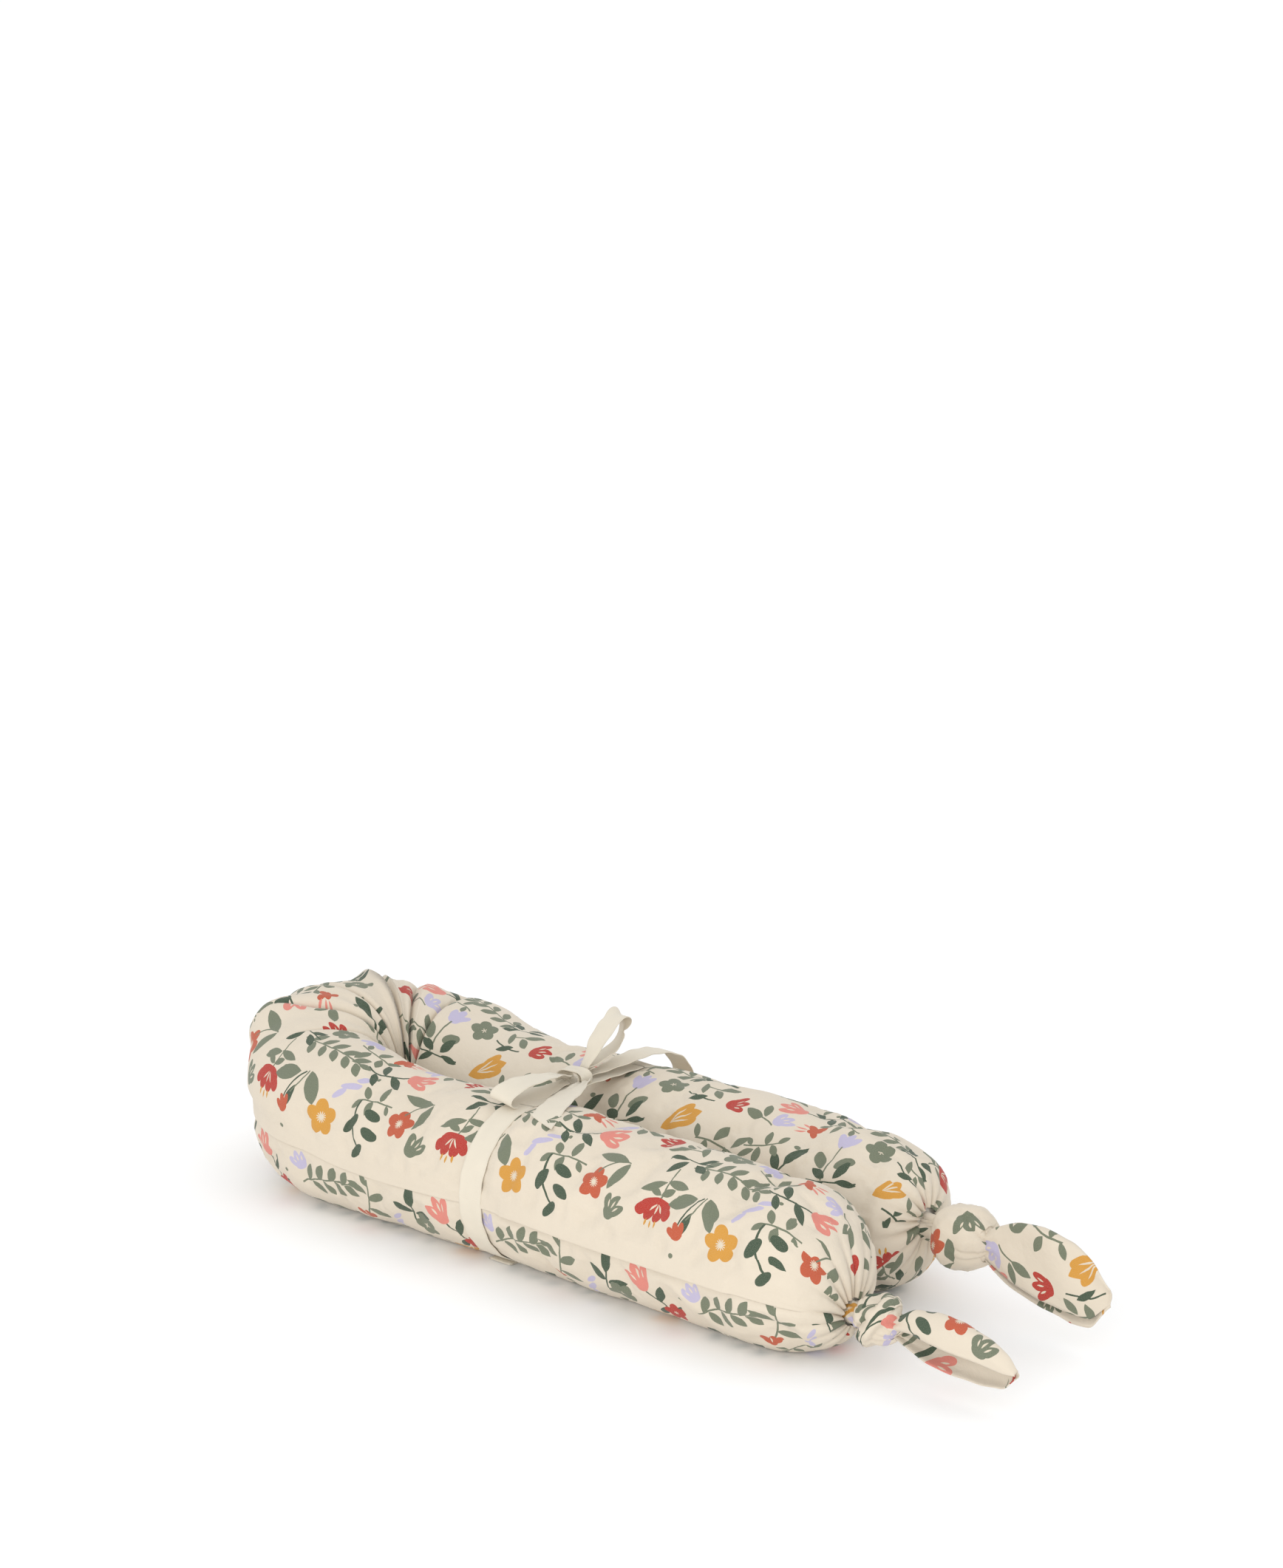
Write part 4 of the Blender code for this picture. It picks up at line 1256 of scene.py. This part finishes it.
def make_knot(name, side, cloth, shift, start_x, grooves, spiral, place):
    """A neck and its knot: gathered cloth that swirls into a wrap across it."""
    low, high = (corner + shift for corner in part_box(f"{name}_knot"))
    centre = (low + high) / 2
    half = (high - low) / 2
    rows, wide = 86, 132
    angles = np.arange(wide) * 2 * math.pi / wide
    ends = [
        (start_x - 0.010, 0.45), (start_x, 0.50), (low.x - 0.003, 0.52), (low.x + 0.002, 0.70),
        (low.x + half.x * 0.35, 0.93), (centre.x, 1.0), (high.x - half.x * 0.5, 0.93),
        (high.x - 0.003, 0.66), (high.x + 0.0035, 0.34), (high.x + 0.0075, 0.20),
    ]
    profile, _ = curve_points([(x, r, 0) for x, r in ends], rows)
    grid = np.empty((rows, wide, 3))
    for i, (x, share, _) in enumerate(profile):
        run = (x - low.x) / (high.x - low.x)
        push = np.zeros(wide)
        for k in range(grooves):
            random = lump((k * 1.3, side * 2.0, 7.0), 1.0, 12)
            at = 2 * math.pi * (k + 0.45 * random) / grooves + spiral * run
            deep = 0.0036 * (0.5 + abs(random)) * (1.15 - 0.75 * math.exp(-(((run - 0.45) / 0.3) ** 2)))
            push += deep * np.exp(-apart(angles, at) / 0.13)
        band = 0.50 + 0.34 * np.sin(angles + 0.9 * side + 0.6)
        wrap = smooth((run - band + 0.30) / 0.07) * smooth((band + 0.26 - run) / 0.07)
        fold = smooth((run - band + 0.02) / 0.05) * smooth((band + 0.26 - run) / 0.07)
        shape = share * (1 + 0.03 * np.sin(2 * angles + side))
        out = 0.0034 * wrap + 0.0015 * fold - push * (1 - 0.6 * wrap)
        out = out - 0.0042 * np.exp(-(((run - band + 0.33) / 0.05) ** 2)) * (0 < run < 1)
        grid[i, :, 0] = x + 0.0022 * np.sin(angles * 2 + run * 5) * (0.1 < run < 0.95)
        grid[i, :, 1] = centre.y + np.cos(angles) * (half.y * shape * 0.93 + out)
        grid[i, :, 2] = centre.z + np.sin(angles) * (half.z * shape * 0.93 + out)
    for at in np.ndindex(rows, wide):
        grid[at] += 0.0011 * np.array(noise.noise_vector(Vector(grid[at]) / 0.016 + Vector((side, 3, 1))))
    grid[:, :, 2] = np.maximum(grid[:, :, 2], FLOOR_GAP)
    faces = grid_faces(rows, wide, True)
    tips = [tuple(range(wide))[::-1], tuple((rows - 1) * wide + j for j in range(wide))]
    made = add_mesh(f"{name}_knot_cloth", grid.reshape(-1, 3), faces + tips, cloth)
    run = distances(grid[:, 0])
    places = []
    for face in faces:
        for corner, vertex in enumerate(face):
            i, j = divmod(vertex, wide)
            j = wide if corner in (1, 2) and j == 0 else j
            turned = angles[1] * j + spiral * (profile[i][0] - low.x) / (high.x - low.x)
            places.append((place[0] + run[i], place[1] + turned * half.z))
    places += [place] * (2 * wide)
    lay_cloth(made, places)
    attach(made, f"{name}_leg")
    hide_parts(f"{name}_neck", f"{name}_knot")


def make_tail(node, cloth, top, bottom, flap, depth, place):
    """A knot's loose end: one layer of cloth folded along its top edge, open below.

    top and bottom give the two edges' heights at shares of the tail's length.
    """
    low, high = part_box(node)
    root = Vector((low.x - 0.0035, (low.y + high.y) / 2, 0))
    long = high.x - root.x
    rows, wide = 64, 44
    shares = np.linspace(0, top[-1][0], rows)
    upper = np.interp(shares, [p[0] for p in top], [p[1] for p in top])
    lower = np.interp(shares, [p[0] for p in bottom], [p[1] for p in bottom])
    kernel = np.array([1, 2, 3, 2, 1]) / 9
    upper = np.convolve(np.pad(upper, 2, mode="edge"), kernel, "valid")
    lower = np.convolve(np.pad(lower, 2, mode="edge"), kernel, "valid")
    grid = np.empty((rows, wide, 3))
    girth = np.empty((rows, wide))
    for i, share in enumerate(shares):
        tall = upper[i] - lower[i]
        open_it = depth * math.sin(math.pi * min(1.0, share * 0.9 + 0.12)) ** 0.8
        mid = (upper[i] + lower[i]) / 2
        profile, length = curve_points(
            [
                (-open_it * 1.25, upper[i] - tall * flap),
                (-open_it * 1.35, upper[i] - tall * flap * 0.55),
                (-open_it * 0.85, upper[i] - tall * 0.07),
                (-open_it * 0.10, upper[i]),
                (open_it * 0.45, upper[i] - tall * 0.10),
                (open_it * 0.75, mid),
                (open_it * 0.25, lower[i] + tall * 0.14),
                (-open_it * 0.75, lower[i] + tall * 0.01),
            ],
            wide,
        )
        pleat = math.exp(-share / 0.16)
        around = np.arange(wide)
        wave = 0.0016 * pleat * np.cos(around * 1.1) + 0.0010 * np.sin(around * 0.33 + share * 11)
        grid[i, :, 0] = root.x + long * share + 0.002 * np.sin(around / wide * 9) * share * (1 - share)
        grid[i, :, 1] = root.y + profile[:, 0] + wave
        grid[i, :, 2] = profile[:, 1]
        girth[i] = np.linspace(0, length, wide)
    for i, j in np.ndindex(rows, wide):
        sway = noise.noise(Vector(grid[i, j]) / 0.035 + Vector((4, 2, 8)))
        grid[i, j, 1] += 0.0030 * sway * shares[i]
        grid[i, j, 2] += 0.0012 * noise.noise(Vector(grid[i, j]) / 0.02)
    half_thick = open_normals(grid) * TAPE_THICK / 2
    verts = np.concatenate([(grid + half_thick).reshape(-1, 3), (grid - half_thick).reshape(-1, 3)])
    front = grid_faces(rows, wide, False)
    count = rows * wide
    faces = front + [tuple(count + v for v in face[::-1]) for face in front]
    rim = [(i * wide, (i + 1) * wide) for i in range(rows - 1)]
    rim += [((i + 1) * wide + wide - 1, i * wide + wide - 1) for i in range(rows - 1)]
    rim += [(j + 1, j) for j in range(wide - 1)]
    rim += [((rows - 1) * wide + j, (rows - 1) * wide + j + 1) for j in range(wide - 1)]
    faces += [(a, b, count + b, count + a) for a, b in rim]
    made = add_mesh(f"{node}_cloth", verts, faces, cloth)
    places = []
    for face in faces:
        for vertex in face:
            i, j = divmod(vertex % count, wide)
            places.append((place[0] + long * shares[i], place[1] + girth[i, j]))
    lay_cloth(made, places)
    fix_normals(made)
    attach(made, node)
    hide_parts(node)


def fix_normals(made):
    """Turns every face outward, for a closed thin mesh."""
    shape = bmesh.new()
    shape.from_mesh(made.data)
    bmesh.ops.recalc_face_normals(shape, faces=shape.faces)
    shape.to_mesh(made.data)
    shape.free()


def make_ends(cloth):
    make_knot("near", -1, cloth, Vector((0, 0, 0)), NEAR_NECK_X, 9, 2.6, (0.010, -0.010))
    sag = Vector((0.008, 0, -0.004))
    make_knot("far", 1, cloth, sag, FAR_NECK_X, 8, 1.1, (0.070, -0.048))
    make_tail(
        "near_tail", cloth,
        [(0, 0.056), (0.12, 0.066), (0.3, 0.0715), (0.5, 0.0710), (0.7, 0.063), (0.85, 0.052), (0.92, 0.040)],
        [(0, 0.038), (0.12, 0.032), (0.3, 0.0255), (0.5, 0.0220), (0.7, 0.0215), (0.85, 0.024), (0.92, 0.036)],
        0.52, 0.0115, (0.040, 0.020),
    )
    make_tail(
        "far_tail", cloth,
        [(0, 0.080), (0.12, 0.092), (0.3, 0.1035), (0.5, 0.1060), (0.72, 0.099), (0.88, 0.086), (1, 0.064)],
        [(0, 0.064), (0.12, 0.052), (0.3, 0.0400), (0.5, 0.0310), (0.72, 0.0240), (0.88, 0.025), (1, 0.050)],
        0.86, 0.0085, (0.062, 0.122),
    )


# ---------------------------------------------------------------- label, zip and their materials


def tape_cotton():
    """Cream cotton tape: ribs across it, a firmer edge, faint slubs."""
    made, shader, surface = new_material("tape_cotton")
    flat = cloth_millimetres(shader)
    x, y, _ = shader.split(flat)
    ribs = shader.math("SINE", shader.math("MULTIPLY", x, 2 * math.pi / 0.9))
    warp = shader.math("SINE", shader.math("MULTIPLY", y, 2 * math.pi / 0.7))
    crossed = shader.math("MULTIPLY", ribs, warp)
    height = shader.math("MULTIPLY_ADD", crossed, 0.35, shader.math("MULTIPLY", ribs, 0.5))
    cloud = shader.noise(flat, 0.05, 3.0)
    tone = shader.math("MULTIPLY_ADD", height, 0.020, shader.math("MULTIPLY_ADD", cloud, 0.10, 0.93))
    edge = shader.math("GREATER_THAN", shader.math("ABSOLUTE", y), 12.4)
    tone = shader.math("MULTIPLY_ADD", edge, -0.035, tone)
    shader.link(shader.scaled((0.690, 0.630, 0.520), tone), surface, "Base Color")
    bump = shader.add("ShaderNodeBump", {"Height": height, "Strength": 0.22, "Distance": 0.0003})
    shader.link(bump.outputs[0], surface, "Normal")
    shader.link(shader.math("MULTIPLY_ADD", cloud, 0.12, 0.74), surface, "Roughness")
    set_inputs(surface, sheen_weight=0.15, specular_ior_level=0.25)
    return made


def object_cloth(name, colour, pitch, rough, strength, sheen=0.1):
    """A plain woven or fibrous material in object coordinates."""
    made, shader, surface = new_material(name)
    flat = shader.scaled(shader.add("ShaderNodeTexCoord").outputs["Object"], 1000.0)
    x, y, z = shader.split(flat)
    first, second, third = (shader.math("SINE", shader.math("MULTIPLY", v, 2 * math.pi / pitch)) for v in (x, z, y))
    height = shader.math("MULTIPLY", first, shader.math("ADD", second, third))
    cloud = shader.noise(flat, 0.06, 3.0)
    height = shader.math("MULTIPLY_ADD", cloud, 2.0, height)
    tone = shader.math("MULTIPLY_ADD", cloud, 0.14, 0.92)
    shader.link(shader.scaled(colour, tone), surface, "Base Color")
    bump = shader.add("ShaderNodeBump", {"Height": height, "Strength": strength, "Distance": 0.0003})
    shader.link(bump.outputs[0], surface, "Normal")
    shader.link(shader.math("MULTIPLY_ADD", cloud, 0.14, rough - 0.07), surface, "Roughness")
    set_inputs(surface, sheen_weight=sheen)
    return made


def lacquered_metal():
    """Cream lacquer on small cast metal parts, rubbed darker in places."""
    made, shader, surface = new_material("zip_metal")
    at = shader.add("ShaderNodeTexCoord").outputs["Object"]
    grain = shader.noise(at, 900.0, 3.0)
    rub = shader.noise(at, 240.0, 2.0)
    worn = shader.math("GREATER_THAN", rub, 0.66)
    colour = shader.mix(worn, (0.66, 0.60, 0.49), (0.50, 0.46, 0.40))
    shader.link(colour, surface, "Base Color")
    shader.link(shader.math("MULTIPLY_ADD", grain, 0.2, 0.28), surface, "Roughness")
    bump = shader.add("ShaderNodeBump", {"Height": grain, "Strength": 0.12, "Distance": 0.0001})
    shader.link(bump.outputs[0], surface, "Normal")
    set_inputs(surface, metallic=0.35)
    return made


def dress_zip():
    """The zip's CAD parts keep their shapes and get woven nylon and lacquered metal."""
    nylon = object_cloth("zip_nylon", (0.70, 0.63, 0.50), 0.8, 0.62, 0.35)
    metal = lacquered_metal()
    for node in ("zip_tape_upper", "zip_tape_lower", "zip_coil"):
        put_material(node, nylon)
    for node in ("zip_slider", "zip_pull", "zip_stop_rear", "zip_stop_front"):
        put_material(node, metal)


def put_material(node, material):
    for slot in bpy.data.objects[node].material_slots:
        slot.material = material


def make_label():
    """A blank folded satin tab sewn into the far side."""
    satin = object_cloth("label_satin", (0.86, 0.86, 0.84), 0.35, 0.42, 0.15, 0.3)
    low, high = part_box("care_label")
    x, z = (low.x + high.x) / 2, (low.z + high.z) / 2
    long = high.y - low.y
    path, _ = curve_points(
        [
            (x, low.y - 0.002, z + 0.0009), (x, low.y + long * 0.3, z + 0.0010), (x, low.y + long * 0.7, z),
            (x, high.y - 0.0008, z - 0.0016), (x, high.y, z - 0.0027), (x, high.y - 0.0012, z - 0.0034),
            (x, low.y + long * 0.65, z - 0.0018), (x, low.y + long * 0.3, z - 0.0008), (x, low.y - 0.002, z - 0.0006),
        ],
        44,
    )
    across = np.tile((1.0, 0, 0), (len(path), 1))
    made, length = ribbon("care_label_tab", path, across, high.x - low.x, satin, thick=0.0004)
    finish_tape(made, "far_leg", "care_label")


make_camera()
make_studio()
print_cloth = printed_cotton()
cover = make_cover(print_cloth)
make_inside(
    cover,
    object_cloth("casing_cotton", (0.72, 0.70, 0.64), 0.7, 0.85, 0.3),
    object_cloth("polyester_fibre", (0.78, 0.78, 0.77), 2.3, 0.95, 0.8, 0.4),
)
make_bow(tape_cotton())
make_ends(print_cloth)
dress_zip()
make_label()
